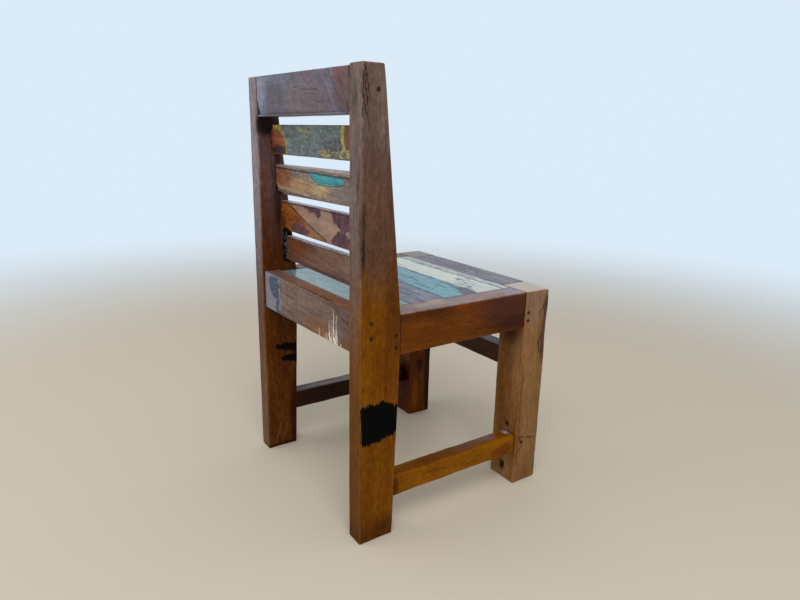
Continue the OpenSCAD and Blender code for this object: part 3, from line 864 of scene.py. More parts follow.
timber("post_left", "post_wood", Z, post_stations("post_left"), seed=12,
    tones=((74, 38, 10), (100, 58, 20), (120, 76, 32)), pith=(60, -50), ring=6, figure=0.18,
    fibres=0.28, gloss=0.08, mottle=0.9, nails=nails_of("post_left"),
    worn=(((151, 136, 0), (60, 60, 16), 1.0),), stains=(
    # Faded varnish and a painted reflection of a bright room, greyer towards the top
    ((112, 84, 82), 0.92, (137, 130, 640), (14, 70, 330)),
    ((118, 86, 58), 0.9, (150, 167, 60), (40, 10, 300)),
    # Faded varnish and a painted reflection of a bright room, paler towards the top
    ((162, 144, 150), 0.95, (150, 167, 560), (40, 10, 400)),
    # Painted shadow under the top rail, then painted shade along the post where the slats' ends meet it
    ((34, 25, 28), 0.9, (137, 150, 533), (10, 30, 20)),
    ((50, 34, 32), 0.8, (137, 132, 450), (10, 7, 110)),
    ((28, 20, 22), 0.9, (137, 118, 352), (10, 9, 34)),
    ((52, 22, 8), 0.8, (140, 112, 50), (16, 12, 90)),
    ((44, 20, 8), 0.8, (140, 130, -2), (40, 60, 12)),
), strokes=[
    # The first line is painted shade where the slats' ends meet the post
    *lines(X, post_in, ((50, 34, 32), 0.5, (140, 519), (141, 474), (139, 437), (134, 382)),
        ((132, 92, 62), 0.6, (147, 14), (141, 34), (138, 44)),
        ((128, 88, 60), 0.5, (133, 18), (127, 40)), ((120, 84, 66), 0.5, (132, 236), (127, 216)),
        ((42, 20, 8), 0.5, (150, 64), (149, 50))),
    *dashes((98, 82, 80), 0.8, Y, post_back, (142, 572, 30), (151, 530, 26), (145, 490, 30),
        (157, 440, 20), (148, 400, 26), (141, 360, 22)),
    *lines(Y, post_back, ((84, 68, 66), 0.6, (148, 452), (147, 430)),
        ((84, 68, 66), 0.6, (155, 330), (154, 306))),
], paints=(
    paint(((6, 6, 6), (14, 12, 12)), (("-x", ((147, 184), (138, 185), (122, 186), (100, 184),
            (100, 160), (107, 164), (121, 172), (142, 177))),
            ("-x", ((136, 159), (123, 165), (108, 165), (100, 165), (100, 148), (107, 148), (120, 153),
            (134, 155))), ("-x", ((126, 376), (113, 376), (115, 322), (126, 324)))), rough=0.8,
        torn=4.0, combed=1.0, lift=0.3),
    paint(((126, 122, 130), (76, 70, 80)), (("-x", ((124, 372), (118, 372), (119, 328), (124, 328))),),
        rough=0.7, torn=3.0, holes=0.47, hole_size=(7, 3)),
))

# Front legs
timber("front_leg_right", "leg_wood", Z, box_stations("front_leg_right", Z), seed=13, gloss=0.08,
    dents=1.0, tones=((112, 76, 46), (146, 105, 67), (172, 130, 90)), arris=1.8, pith=(-60, 90), ring=7,
    figure=0.2, pore=0.35, fibres=0.35, end_colour=(216, 206, 190), end_mix=0.75,
    nails=nails_of("front_leg_right"),
    worn=(((-139, -138, 0), (60, 60, 10), 1.2), ((-165, -162, 245), (22, 22, 55), 3.5),
        ((-165, -162, 100), (20, 20, 90), 1.6), ((-165, -162, 306), (24, 24, 14), 2.0)),
    knots=(((-165, -124, 74), (4, 5, 7)), ((-165, -146, 71), (4, 4, 4)),
        ((-139, -115, 22), (9, 5, 16))),
    cracks=(((-165, -117, 172), (-165, -120, 80), 0.8, 0.4),
        ((-165, -113, 49), (-165, -124, 55), 1.8, 0.8), ((-165, -124, 55), (-165, -129, 64), 1.6, 0.8),
        ((-165, -150, 72), (-165, -130, 75), 1.2, 0.5),
        ((-165, -154, 296), (-165, -155, 262), 1.2, 0.6),
        ((-165, -146, 262), (-165, -145, 225), 1, 0.5)),
    gouges=(((-137, -115, 20), (7.5, 6, 13), 4.5, 1.0), ((-142, -115, 94), (7, 6, 7), 3.0, 1.0)),
    strokes=[
    *lines(X, right_side, ((116, 72, 30), 2.0, (-113, 48), (-121, 53), (-127, 60), (-129, 70)),
        ((92, 56, 26), 1.5, (-119, 79), (-126, 78), (-132, 76)),
        ((100, 64, 34), 1.4, (-138, 76), (-148, 72), (-156, 71)),
        ((58, 38, 26), 1.2, (-161, 291), (-150, 283), (-142, 274)),
        ((44, 28, 20), 1.2, (-151, 240), (-146, 228), (-150, 212)),
        ((60, 44, 36), 1.0, (-158, 300), (-159, 262))),
    *lines(Y, leg_back, ((100, 60, 24), 0.9, (-148, 34), (-157, 24), (-160, 10))),
    *lines(X, right_side, ((104, 70, 36), (0.5, 0.2), (-136, 230), (-137, 196)),
        ((104, 70, 36), (0.5, 0.2), (-128, 160), (-129, 126))),
    *lines(Y, leg_back, ((74, 44, 18), (0.5, 0.2), (-136, 220), (-136, 180)),
        ((70, 42, 14), (0.5, 0.2), (-128, 196), (-128, 160)),
        ((70, 42, 14), (0.5, 0.2), (-146, 172), (-146, 140)),
        ((74, 44, 18), (0.5, 0.2), (-124, 130), (-124, 108)),
        ((60, 34, 12), (0.6, 0.3), (-139, 8), (-150, 26))),
], stains=(
    ((116, 72, 20), 0.9, (-131, -112, 140), (28, 6, 200)),
    ((124, 80, 30), 0.7, (-158, -112, 60), (10, 6, 80)),
    # Painted shadow cast by the side apron on the leg's back face
    ((58, 30, 20), 0.95, (-134, -112, 252), (42, 6, 40)),
    ((150, 118, 96), 0.8, (-165, -134, 310), (6, 26, 70)),
    ((150, 112, 68), 0.6, (-165, -146, 120), (6, 18, 130)),
    ((78, 54, 48), 0.8, (-165, -156, 235), (8, 9, 48)),
    ((92, 68, 54), 0.8, (-165, -156, 285), (6, 8, 20)),
    ((122, 78, 34), 0.7, (-165, -117, 110), (6, 8, 120)),
    ((136, 110, 98), 0.6, (-146, -112, 86), (9, 5, 4)),
    ((150, 150, 156), 0.8, (-116, -140, 312), (14, 40, 6)),
    ((176, 184, 196), 0.5, (-150, -158, 312), (30, 8, 6)),
    ((196, 160, 140), 0.7, (-140, -126, 312.3), (14, 14, 6)),
    ((130, 96, 76), 0.7, (-154, -142, 312.3), (7, 4, 6)),
))
timber("front_leg_left", "leg_wood", Z, box_stations("front_leg_left", Z), seed=14, gloss=0.08,
    tones=((60, 26, 0), (96, 48, 0), (124, 72, 10)), arris=1.8, pith=(60, 80), ring=7, figure=0.3,
    fibres=0.35, end_colour=(148, 142, 134), end_mix=0.9, nails=nails_of("front_leg_left"),
    worn=(((141, -138, 0), (60, 60, 10), 1.5),),
    knots=(((118, -136, 104), (5, 7, 9)),), stains=(
    ((66, 20, 4), 0.9, (140, -112, 40), (40, 6, 70)),
    ((16, 8, 8), 0.95, (136, -112, 84), (24, 6, 40)),
    ((34, 18, 6), 0.85, (118, -158, 80), (6, 12, 130)),
    ((50, 24, 4), 0.8, (118, -138, 100), (6, 10, 18)),
    ((134, 78, 10), 0.6, (118, -128, 40), (6, 8, 40)),
), paints=(
    paint(((70, 112, 116), (112, 136, 132)),
        (("+x", ((-163, 196), (-140, 204), (-128, 226), (-134, 262), (-163, 268))),), torn=4.0,
        combed=3.0, opacity=0.7, thick=0.1, holes=0.52, hole_size=(16, 3)),
))

# Back
slope_top = box_mm("top_rail")[0][Z] + 1 + TOP_SLOPE_HEIGHT


def worn_back(at, normal):
    """The slope along the lower back edge of the top rail."""
    below = np.clip((slope_top - at[:, Z]) / TOP_SLOPE_HEIGHT, 0, 1)
    return TOP_SLOPE_DEPTH * below * np.clip(normal[:, Y], 0, 1)


SCRATCH = (54, 42, 45)
# The top rail's blue-grey tones are partly faded varnish and partly a painted reflection of a bright
# room
timber("top_rail", "grey_rail_wood", X, cross_stations("top_rail", post_in), seed=15,
    tones=((90, 82, 92), (117, 109, 124), (140, 134, 154)), mottle=0.8, pith=(90, 60), ring=9,
    figure=0.18, fibres=0.25, slope=worn_back, pore=0.3, rubbed=0.05, butt=RUN_IN,
    gouges=(((-137, 161, 552), (5, 9, 6), 2.5, 1.0),), strokes=[
    *lines(Y, top_rail_slope, (SCRATCH, 0.7, (119, 556), (112, 564), (102, 570), (90, 573)),
        (SCRATCH, 0.65, (110, 558), (102, 565), (92, 569), (84, 570)),
        (SCRATCH, 0.65, (104, 555), (97, 561), (88, 564)),
        (SCRATCH, 0.6, (112, 551), (104, 553), (99, 552)),
        (SCRATCH, 0.7, (64, 556), (59, 565), (50, 571)),
        (SCRATCH, 0.6, (56, 557), (50, 564), (41, 568)), (SCRATCH, 0.6, (48, 559), (43, 563))),
    *lines(Y, top_rail_back, (SCRATCH, 0.8, (-22, 588), (-32, 583)),
        (SCRATCH, 0.8, (10, 580), (-4, 581)), (SCRATCH, 0.7, (-12, 577), (-40, 576), (-60, 575)),
        (SCRATCH, 0.6, (-24, 572), (-52, 570))),
    *lines(Y, top_rail_slope, (SCRATCH, 0.6, (-6, 566), (-14, 556)),
        (SCRATCH, 0.6, (-50, 562), (-72, 560)), (SCRATCH, 0.7, (-84, 568), (-90, 556))),
    *lines(Y, top_rail_back, (SCRATCH, 0.7, (-112, 590), (-122, 572)),
        (SCRATCH, 0.8, (137, 599), (20, 599), (-137, 599)),
        ((34, 26, 28), 1.4, (-136, 600), (-136.5, 586))),
    *lines(Y, top_rail_slope, ((34, 26, 28), 1.6, (-127, 558), (-128.5, 546)),
        ((60, 48, 48), 0.8, (-110, 553), (-120, 549))),
    *lines(Y, top_rail_back, ((150, 132, 124), 0.6, (-70, 592), (-84, 580), (-92, 568)),
        ((150, 132, 124), 0.5, (34, 566), (12, 570)),
        ((84, 66, 70), 1.4, (-86, 598), (-94, 586), (-106, 572), (-122, 556))),
    *lines(Y, top_rail_slope, ((152, 134, 126), 0.7, (22, 548), (20, 562), (23, 578)),
        ((152, 134, 126), 0.7, (2, 552), (-3, 566), (-2, 574)),
        ((152, 134, 126), 0.7, (70, 553), (68, 563), (72, 570))),
], stains=(
    ((130, 110, 110), 0.7, (-20, 162, 560), (90, 10, 34)),
    # This and the next: pale blue-grey high on the back face, faded varnish and a painted reflection
    ((116, 120, 142), 0.85, (60, 162, 606), (60, 10, 24)),
    ((148, 150, 172), 0.95, (138, 162, 580), (44, 10, 60)),
    ((130, 102, 114), 0.75, (-30, 162, 606), (60, 10, 22)),
    ((96, 90, 96), 0.7, (70, 162, 575), (34, 10, 22)),
    ((118, 86, 82), 0.95, (-124, 162, 580), (32, 12, 50)),
    ((130, 84, 88), 0.7, (-108, 162, 594), (18, 12, 12)),
    ((116, 116, 130), 0.8, (-92, 162, 584), (7, 10, 26)),
    ((92, 82, 82), 0.65, (20, 162, 544), (130, 12, 10)),
), paints=(
    paint(((104, 128, 144), (140, 146, 158)),
        (("-y", ((128, 602), (40, 602), (60, 586), (92, 570), (118, 566))),), torn=4.0, combed=2.0,
        opacity=0.55, thick=0.1, holes=0.52, hole_size=(20, 4)),
))
ARCH = ((131, 524), (125, 527), (113, 527), (100, 522), (93, 514), (88, 505), (85, 488), (142, 488),
    (142, 512))
slat(1, "green_yellow_paint", tones=((84, 42, 22), (124, 68, 38), (150, 92, 60)),
    strokes=lines(Y, slat_backs[0],
    ((60, 44, 48), 1.2, (138, 499), (88, 500)),
), stains=(
    ((50, 34, 42), 0.95, (112, 140, 497), (36, 6, 10)),
    ((86, 60, 52), 0.9, (-122, 140, 514), (44, 6, 50)),
    # Painted shade at the slat's far end, beside the post
    ((58, 42, 34), 0.95, (146, 140, 534), (18, 6, 20)),
), paints=(
    paint(((188, 170, 76), (142, 132, 70)), (("+y", None), ("+z", None), ("-y", None), ("-z", None)),
        torn=1.8, streak=(6, 5), rim=(120, 92, 40),
        bare=(("+y", ARCH, 0), ("+y", ((145, 545), (128, 545), (133, 521), (145, 508)), 0),
            ("+y", ((-87, 545), (-150, 545), (-150, 506), (-89, 504), (-86, 515)), 0))),
    paint(((86, 96, 98), (118, 124, 124)), (("+y", None), ("-y", None), ("+z", None)), torn=2.2,
        combed=1.0, holes=0.63, hole_size=(9, 2.5), streak=(18, 7),
        specks=(((64, 70, 68), 0.53, (14, 6)), ((38, 40, 36), 0.55, (6, 3)),
            ((168, 174, 176), 0.58, (7, 3)), ((172, 156, 84), 0.6, (6, 3))),
        bare=(("+y", ARCH, 3.2), ("+y", ((142, 540), (98, 540), (104, 526), (142, 526)), 0),
            ("+y", ((-80, 545), (-140, 545), (-140, 500), (-84, 503), (-77, 516)), 0),
            ("+y", ((-20, 501), (-60, 503), (-140, 503), (-140, 480), (-44, 480)), 0),
            ("+y", ((46, 528), (6, 526), (8, 523), (44, 525)), 0))),
    paint(((112, 112, 92), (92, 92, 86)),
        (("+y", ((-18, 501), (-60, 502), (-120, 502), (-120, 480), (-40, 480))),), torn=3.0,
        specks=(((186, 168, 78), 0.51, (9, 3)), ((58, 54, 50), 0.56, (8, 4)))),
    paint(((62, 52, 56), (92, 84, 86)),
        (("+y", ((-28, 510), (-54, 517), (-76, 517), (-80, 505), (-52, 499), (-34, 501))),), torn=4.0,
        holes=0.52, hole_size=(8, 2.5), opacity=0.9),
))
slat(2, "ochre_slat_wood", tones=((92, 66, 48), (144, 121, 102), (182, 160, 138)), figure=0.5, pore=0.4,
    mottle=0.8,
    worn=(((0, 135, 478), (400, 8, 8), 2.8),),
    gouges=(((132, 135, 432.5), (26, 12, 4), 3.5, 0.6), ((137, 135, 438), (8, 10, 8), 3, 1.0)),
    strokes=[
    *lines(Y, slat_backs[1], ((48, 34, 28), 0.9, (140, 471), (60, 471), (-20, 470), (-140, 469))),
    *lines(Y, slat_backs[1] - 0.7, ((92, 70, 62), 0.6, (140, 473.5), (40, 474), (-140, 474.5))),
    *lines(Y, slat_backs[1], ((74, 54, 40), 0.7, (139, 440), (96, 436), (40, 438)),
        ((80, 64, 56), 0.6, (-20, 459), (-60, 461), (-92, 460)),
        ((70, 52, 40), 0.5, (84, 466), (66, 464), (50, 465)),
        ((52, 64, 66), 0.5, (30, 469), (26, 462), (14, 456), (-4, 453))),
], stains=(
    ((134, 80, 48), 0.85, (108, 136, 458), (44, 8, 20)),
    # Painted shade at the slat's far end, beside the post
    ((60, 40, 34), 0.9, (142, 136, 456), (12, 8, 26)),
    ((172, 134, 90), 0.85, (50, 136, 449), (46, 8, 12)),
    ((186, 160, 108), 0.7, (-10, 136, 449), (38, 8, 12)),
    ((120, 108, 102), 0.9, (-90, 136, 444), (66, 8, 20)),
    ((104, 86, 70), 0.8, (-110, 136, 466), (30, 8, 10)),
    ((84, 60, 44), 0.8, (20, 136, 434), (110, 8, 4)),
    ((74, 54, 46), 0.75, (0, 136, 470.5), (260, 8, 2.6)),
    ((40, 28, 26), 0.95, (124, 136, 433), (28, 8, 6)),
    # painted highlight along the top edge
    *top_highlight("back_slat_2", (176, 168, 170), 0.9, 1.0, 6.5),
), paints=(
    paint(((44, 132, 142), (78, 158, 164)), (("+y", ((28, 470.5), (8, 471), (-40, 471), (-76, 469),
            (-80, 464), (-70, 459), (-45, 457), (-17, 455.5), (-2, 457), (13, 464))),
            ("+y", ((68, 469), (60, 470), (56, 466), (63, 465)))), torn=0.6, combed=0.3, thick=0.3,
        streak=(30, 8), rim=(44, 74, 78), specks=(((38, 88, 96), 0.62, (8, 3)),)),
    paint(((92, 120, 128), (128, 144, 146)),
        (("-y", ((-70, 482), (20, 482), (8, 462), (-16, 456), (-60, 460))),), torn=4.0, combed=2.0,
        opacity=0.8, thick=0.1, holes=0.54, hole_size=(16, 3)),
))
slat(3, "pink_gold_paint", tones=((96, 48, 20), (142, 82, 34), (176, 114, 58)), figure=0.35, pore=0.35,
    mottle=0.9,
    gouges=(((122, 128, 375.5), (14, 12, 6), 4, 1.0),), strokes=lines(Y, slat_backs[2],
    ((26, 14, 14), 1.3, (131, 424), (91, 412), (36, 394), (-14, 380)),
    ((60, 34, 40), 0.7, (54, 418), (30, 416), (8, 417)),
    ((60, 34, 40), 0.7, (-38, 419), (-42, 412), (-39, 406)),
    ((60, 34, 40), 0.6, (-54, 420), (-56, 411), (-60, 404)),
    ((60, 34, 40), 0.6, (-70, 419), (-69, 406)),
    ((60, 34, 40), 0.6, (-36, 413), (-60, 414), (-84, 411)),
    ((60, 34, 40), 0.6, (-50, 395), (-58, 388), (-56, 382)),
    ((60, 34, 40), 0.6, (-46, 388), (-80, 390)),
    ((52, 34, 30), 1.0, (138, 418.5), (0, 420.4), (-138, 421.8)),
), stains=(
    ((150, 104, 72), 0.8, (20, 128, 388), (60, 6, 14)),
    ((156, 40, 28), 0.9, (86, 128, 419), (9, 5, 4)),
    ((84, 44, 26), 0.8, (130, 128, 386), (14, 6, 12)),
    ((88, 44, 30), 0.7, (70, 128, 384), (40, 6, 8)),
    # painted highlight along the top edge
    *top_highlight("back_slat_3", (204, 198, 208), 0.9, 2.5, 6),
), paints=(
    paint(((138, 108, 92), (166, 132, 108)),
        (("+y", ((122, 428), (-150, 430), (-150, 370), (-14, 379), (60, 401))),), torn=0.15, combed=0.1,
        thick=0.1, streak=(50, 12), specks=(((120, 96, 92), 0.58, (16, 5)),)),
    paint(((74, 42, 50), (104, 72, 78)), (("+y",
            ((58, 421), (3, 423), (2, 414), (8, 409), (17, 411), (24, 416), (36, 413), (44, 417))),
            ("+y", ((-26, 424), (-140, 428), (-140, 406), (-80, 403), (-66, 399), (-54, 401),
            (-45, 407), (-36, 410), (-31, 418))), ("+y", ((-42, 393), (-52, 399), (-66, 398),
            (-76, 391), (-90, 388), (-104, 376), (-28, 380), (-32, 386))),
            ("+y", ((96, 390), (78, 392), (58, 387), (40, 386), (50, 380), (95, 378))),
            ("-y", ((-150, 425), (-84, 425), (-60, 408), (-72, 390), (-100, 380), (-150, 376))),
            ("-y", ((70, 425), (20, 425), (34, 412), (58, 410)))), torn=1.4, combed=1.0, streak=(5, 16),
        rough=0.45, rim=(66, 42, 46), specks=(((132, 108, 104), 0.6, (6, 3)),)),
))
slat(4, "brown_slat_wood", tones=((90, 56, 42), (126, 91, 73), (156, 124, 106)), figure=0.35, pore=0.4,
    fibres=0.45, strokes=lines(Y, slat_backs[3],
    ((60, 38, 28), 0.6, (40, 352), (10, 347), (-20, 344)),
    ((150, 124, 108), 0.6, (-40, 349), (-70, 340), (-96, 334)),
    ((64, 40, 32), 0.9, (138, 362.4), (0, 364.2), (-138, 365.8)),
), stains=(
    ((124, 72, 44), 0.8, (100, 120, 350), (44, 6, 22)),
    ((90, 54, 36), 0.7, (60, 120, 358), (40, 6, 10)),
    ((138, 114, 104), 0.6, (-90, 120, 345), (60, 6, 26)),
    ((80, 54, 44), 0.7, (0, 120, 328), (140, 6, 6)),
    # painted highlight along the top edge
    *top_highlight("back_slat_4", (190, 184, 196), 0.85, 2.5, 6),
))
WHITE = (250, 246, 240)
timber("back_rail", "grey_rail_wood", X, cross_stations("back_rail", post_in), seed=20,
    tones=((84, 62, 52), (122, 98, 86), (152, 130, 118)), mottle=0.6, pith=(90, 60), ring=7,
    figure=0.35, pore=0.45, fibres=0.55, butt=RUN_IN, strokes=lines(Y, low_rail_back,
    ((90, 70, 62), 0.55, (50, 306), (51, 280)),
    ((90, 70, 62), 0.55, (36, 304), (36, 276)),
    ((90, 70, 62), 0.55, (22, 306), (23, 270)),
    ((146, 122, 110), 0.55, (62, 308), (62, 284)),
    ((146, 122, 110), 0.55, (43, 305), (44, 276)),
    ((146, 122, 110), 0.55, (14, 303), (14, 272)),
    ((64, 46, 42), 0.8, (76, 310), (75, 301), (78, 294), (64, 291), (30, 290)),
    ((60, 50, 60), 0.7, (112, 304), (113, 288), (104, 277), (98, 279)),
    ((60, 52, 62), 0.7, (96, 306), (92, 292), (94, 280)),
    ((80, 60, 52), 0.6, (20, 287), (-30, 283), (-56, 284)),
    ((80, 60, 52), 0.5, (50, 276), (10, 273)),
    ((60, 42, 36), 0.9, (137, 314), (0, 313.5), (-137, 314)),
    ((50, 44, 54), 0.8, (77, 308), (75, 298), (78, 288), (74, 280)),
    ((64, 44, 40), 1.0, (-100, 306), (-112, 300), (-130, 296)),
    ((64, 46, 42), 0.7, (-112, 290), (-130, 284)),
    (WHITE, (1.7, 0.4), (-90.5, 262), (-91.5, 304)),
    (WHITE, (1.1, 0.3), (-97.5, 264), (-99, 299)),
    (WHITE, (1.2, 0.4), (-79, 259), (-79.5, 288)),
    (WHITE, (1.1, 0.3), (-84, 262), (-85.5, 290)),
    (WHITE, (1.1, 0.3), (-94, 258), (-95.5, 280)),
    (WHITE, (1.7, 0.4), (-101, 258), (-100, 280)),
    (WHITE, (1.1, 0.3), (-73, 257), (-72, 269)),
    (WHITE, (0.9, 0.3), (-67, 257), (-67, 265)),
    (WHITE, (1.2, 0.3), (-50, 255), (-50.5, 270)),
    (WHITE, (0.9, 0.3), (-112, 255), (-110, 264)),
    (WHITE, (2.4, 0.8), (-103, 255), (-90, 268)),
    (WHITE, (2.0, 0.6), (-90, 254), (-78, 268)),
), stains=(
    ((122, 84, 58), 0.85, (-50, 160, 266), (80, 6, 22)),
    ((138, 90, 58), 0.8, (-60, 160, 260), (50, 6, 16)),
    ((104, 80, 78), 0.85, (-128, 160, 292), (30, 6, 34)),
    ((110, 70, 46), 0.75, (-128, 160, 264), (24, 6, 16)),
    ((158, 96, 46), 0.95, (0, 146, 317.5), (500, 60, 6)),
    ((84, 62, 54), 0.7, (0, 160, 256), (100, 6, 5)),
), paints=(
    paint(((116, 118, 138), (134, 132, 146)),
        (("+y", ((150, 320), (86, 318), (74, 306), (80, 290), (74, 276), (84, 250), (150, 240))),),
        opacity=0.8, torn=2.0, thick=0.1, specks=(((150, 134, 132), 0.58, (10, 4)),)),
    paint(((36, 48, 72), (58, 70, 94)), (("+y", ((120, 304), (112, 309), (84, 310), (78, 300),
            (84, 290), (80, 276), (84, 262), (76, 252), (90, 250), (97, 262), (92, 274), (104, 276),
            (116, 288))),), torn=3.0, combed=2.0, opacity=0.9, thick=0.1,
        specks=(((120, 124, 142), 0.56, (8, 4)),)),
))

# Seat frame
timber("apron_front", "purple_grey_paint", X, box_stations("apron_front", X, *leg_gap), seed=21,
    tones=((92, 84, 92), (126, 120, 130), (154, 150, 160)), ridges=0.25, ring=4, figure=0.6, fibres=0.9,
    mottle=0.8, butt=RUN_IN,
    cracks=(((119, -120, 310), (71, -118, 310), 1.8, 0.5),
        ((60, -120, 310), (-29, -124, 310), 1.8, 0.5), ((-29, -124, 310), (-118, -121, 310), 1.8, 0.5),
        ((100, -136, 310), (-60, -137, 310), 1.6, 0.4), ((40, -148, 310), (-112, -146, 310), 1.6, 0.4)),
    strokes=lines(Z, seat_top,
    ((66, 56, 64), 1.8, (110, -128), (40, -130), (-20, -129)),
    ((72, 64, 74), 1.6, (20, -141), (-60, -142)),
    ((62, 54, 60), 1.8, (-30, -133), (-108, -131)),
    ((70, 62, 72), 1.6, (90, -154), (-10, -155)),
), stains=(
    ((128, 112, 116), 0.8, (60, -126, 310), (90, 10, 8)),
    ((112, 110, 132), 0.7, (30, -142, 310), (110, 8, 8)),
    ((150, 140, 144), 0.7, (-60, -136, 310), (70, 10, 8)),
    ((92, 58, 30), 0.95, (0, -115, 275), (140, 8, 34)),
))
timber("apron_right", "apron_wood", Y, side_stations("apron_right"), seed=22, dents=0.6, gloss=0.08,
    tones=((76, 38, 8), (106, 58, 15), (132, 80, 28)), pith=(70, 50), figure=0.22, fibres=0.35,
    butt=RUN_IN, strokes=[
    *lines(X, apron_side, ((56, 28, 14), 0.6, (40, 296), (24, 297)),
        ((56, 28, 14), 0.6, (-6, 282), (-22, 281)), ((50, 26, 16), 0.6, (-48, 266), (-70, 267)),
        ((60, 30, 12), 0.5, (62, 266), (50, 267)), ((54, 26, 14), 0.5, (18, 272), (4, 272)),
        ((52, 26, 18), 0.5, (-84, 291), (-100, 292))),
    *lines(Z, seat_top, ((140, 112, 108), 0.7, (60, -150), (20, -148))),
], stains=(
    ((116, 62, 4), 0.85, (-164, 70, 268), (8, 110, 34)),
    ((84, 46, 34), 0.9, (-164, -88, 300), (8, 76, 40)),
    ((70, 34, 20), 0.8, (-164, -100, 268), (8, 50, 18)),
    ((84, 44, 22), 0.6, (-164, 70, 306), (8, 60, 12)),
    ((126, 62, 10), 0.4, (-164, 2, 304), (8, 20, 6)),
    ((176, 150, 144), 0.95, (-147, -10, 312.3), (60, 400, 4.5)),
    ((160, 152, 166), 0.8, (-147, -100, 312.3), (50, 34, 4.5)),
    ((204, 184, 172), 0.7, (-146, 40, 312.3), (14, 50, 4.5)),
    ((226, 196, 160), 0.95, (-131, 27, 311), (13, 18, 6)),
))
timber("apron_left", "apron_wood", Y, side_stations("apron_left"), seed=23,
    tones=((60, 32, 12), (88, 48, 18), (112, 68, 28)), pith=(60, 40), figure=0.4, butt=RUN_IN, stains=(
    ((122, 106, 98), 0.9, (147, -10, 312.3), (60, 400, 4.5)),
))

# Seat
BOARD_WOOD = ((38, 34, 38), (74, 68, 74), (122, 114, 114))
CHIP = (38, 34, 34)
seat_board(1, "cream_paint", paints=(
    paint(((228, 230, 210), (214, 220, 206)), (("+z", None),),
        bare=(("+z",
            ((140, -93), (60, -95), (10, -97), (-60, -95), (-140, -99), (-140, -120), (140, -120)), 0),
            ("+z", ((-46, -78), (-56, -74), (-62, -79), (-52, -83)), 0),
            ("+z", ((-62, -62), (-76, -66), (-92, -60), (-104, -48), (-120, -44), (-122, -54),
            (-96, -68), (-76, -72)), 0)), torn=2.0, combed=2.0, holes=0.66, hole_size=(10, 3),
        thick=0.35, rough=0.3, pitted=0.2, specks=(((196, 194, 172), 0.56, (16, 6)),)),
    paint(((214, 214, 208), (182, 184, 186)), (
            ("+z", ((140, -95), (10, -99), (-60, -97), (-140, -101), (-140, -120), (140, -120))),
            ("+z", ((-50, -54), (-130, -46), (-130, -92), (-60, -84)))), torn=2.0, combed=3.0,
        holes=0.52, hole_size=(22, 2.5), thick=0.3, streak=(30, 3)),
), strokes=lines(Z, seat_top,
    (CHIP, 1.2, (88, -88), (64, -91), (40, -92), (12, -95)),
    (CHIP, 2.8, (75, -94), (69, -95.5), (63, -96)),
    (CHIP, 1.5, (30, -97), (2, -93), (-20, -96)),
    (CHIP, 0.9, (-8, -93), (-42, -94), (-66, -92)),
    (CHIP, 1.0, (-66, -98), (-96, -99), (-128, -100)),
    (CHIP, 0.9, (-44, -84), (-60, -87), (-88, -86)),
    (CHIP, 1.2, (-48, -76), (-56, -82), (-66, -80)),
    (CHIP, 0.9, (-72, -74), (-86, -77), (-96, -76)),
    (CHIP, 1.5, (-74, -61), (-80, -63), (-86, -61)),
    (CHIP, 1.5, (-104, -50), (-112, -49)),
    (CHIP, 0.8, (100, -62), (60, -60)),
))
seat_board(2, "teal_paint", paints=(
    paint(((62, 138, 152), (108, 168, 178)), (("+z", None),),
        bare=(("+z", ((-92, -40), (-140, -20), (-140, -60), (-98, -60)), 0),), holes=0.6,
        hole_size=(20, 6), thick=0.3, rough=0.3, streak=(30, 4),
        specks=(((46, 92, 106), 0.56, (16, 6)), ((140, 182, 188), 0.58, (16, 7)),
            ((36, 44, 56), 0.61, (18, 5)))),
), stains=(
    ((52, 58, 72), 0.8, (0, -48, 310), (140, 5, 8)),
    ((78, 76, 90), 0.9, (-122, -40, 310), (34, 24, 8)),
), strokes=lines(Z, seat_top,
    ((28, 34, 46), 2.9, (38, -50), (22, -47), (10, -46)),
    ((28, 34, 46), 2.7, (-2, -46), (-14, -49), (-32, -48)),
    ((28, 34, 46), 3.1, (-52, -45), (-70, -46), (-86, -42), (-104, -42)),
    ((28, 38, 48), 2.4, (20, -20), (-6, -22), (-30, -19)),
    ((28, 38, 48), 2.4, (-40, -8), (-64, -6), (-80, -9)),
    ((28, 38, 48), 2.1, (40, 0), (0, 2), (-30, 1)),
    ((28, 40, 50), 2.4, (-60, -28), (-84, -30)),
))
seat_board(3, "purple_grey_paint", paints=(
    paint(((92, 86, 106), (134, 126, 144)), (("+z", None),), holes=0.6, hole_size=(22, 6), thick=0.2,
        rough=0.35, streak=(26, 9), specks=(((66, 58, 76), 0.55, (16, 6)),
            ((164, 156, 176), 0.58, (14, 6)), ((40, 34, 44), 0.6, (16, 5)))),
), strokes=lines(Z, seat_top,
    ((30, 24, 34), 2.7, (60, 24), (20, 22), (-30, 24)),
    ((30, 24, 34), 2.7, (10, 40), (-40, 42), (-90, 40)),
    ((30, 24, 34), 2.4, (30, 54), (-20, 56)),
    ((30, 24, 34), 2.4, (-50, 30), (-100, 28)),
))
seat_board(4, "pale_blue_paint",
    # Painted shadow of the far post on the board's end
    stains=(((60, 80, 68), 0.9, (124, 120, 310), (24, 22, 8)),), paints=(
    paint(((100, 128, 130), (134, 160, 164)), (("+z", None),), holes=0.7, hole_size=(14, 4), thick=0.25,
        rough=0.2, streak=(50, 14),
        specks=(((76, 96, 92), 0.6, (10, 4)), ((158, 184, 194), 0.6, (30, 8)))),
), strokes=lines(Z, seat_top,
    ((70, 96, 104), 1.6, (97, 108), (94, 109)),
    ((104, 130, 140), 0.7, (60, 104), (20, 102)),
))
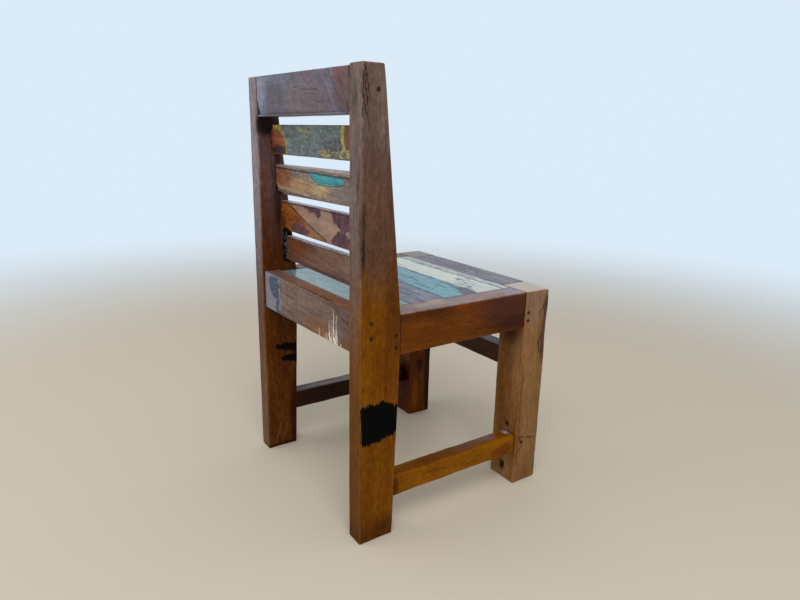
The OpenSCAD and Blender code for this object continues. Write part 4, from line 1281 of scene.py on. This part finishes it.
for side, seed in (("right", 32), ("left", 33)):
    timber(f"cleat_{side}", "cleat_wood", Y, box_stations(f"cleat_{side}", Y), seed=seed,
        tones=((90, 62, 38), (134, 100, 66), (160, 126, 90)), step=4.0, width_step=3.0)

# Lower rails
timber("front_rail", "dark_rail_wood", X, box_stations("front_rail", X, *leg_gap), seed=34,
    tones=((34, 18, 10), (58, 34, 20), (80, 50, 32)), stains=(
    ((132, 126, 132), 0.95, (0, -138, 211), (140, 15, 5)),
), strokes=lines(Y, -125.5,
    ((16, 10, 8), 1.8, (-78.5, 196), (-77.5, 196)),
))
timber("stretcher_right", "apron_wood", Y, side_stations("stretcher_right", STRETCHER_RUN_IN), seed=35,
    dents=0.3, gloss=0.06, tones=((102, 59, 0), (140, 85, 0), (164, 108, 10)), arris=2.4, figure=0.25,
    fibres=0.35, butt=STRETCHER_RUN_IN, rubbed=0.1,
    worn=(((-163, 0, 84), (26, 170, 26), 5.5),), stains=(
    ((116, 64, 12), 0.8, (-150, 0, 87), (18, 150, 8)),
    ((122, 92, 84), 0.85, (-146, -72, 86), (14, 24, 5)),
    ((110, 76, 60), 0.6, (-150, -30, 86), (14, 40, 5)),
    ((176, 160, 166), 0.8, (-147, -108, 85), (10, 7, 5)),
    ((200, 182, 180), 0.8, (-150, -106, 85), (3, 2.5, 4)),
    ((76, 38, 8), 0.8, (-163, 108, 68), (8, 10, 22)),
    ((104, 52, 6), 0.7, (-163, -90, 64), (8, 30, 12)),
), strokes=lines(X, -163,
    ((72, 38, 8), 0.6, (60, 72), (20, 70)),
    ((72, 38, 8), 0.5, (-20, 64), (-50, 63)),
))
timber("stretcher_left", "dark_rail_wood", Y, side_stations("stretcher_left", STRETCHER_RUN_IN),
    seed=36, tones=((24, 10, 4), (38, 18, 10), (54, 28, 16)), arris=2.0, butt=STRETCHER_RUN_IN, stains=(
    ((132, 110, 102), 0.95, (150, 0, 95), (15, 160, 5)),
))

steel = rusty_steel()
for node in ("tenon_nails", "rail_nails", "cleat_nails"):
    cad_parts[node].data.materials.clear()
    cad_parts[node].data.materials.append(steel)
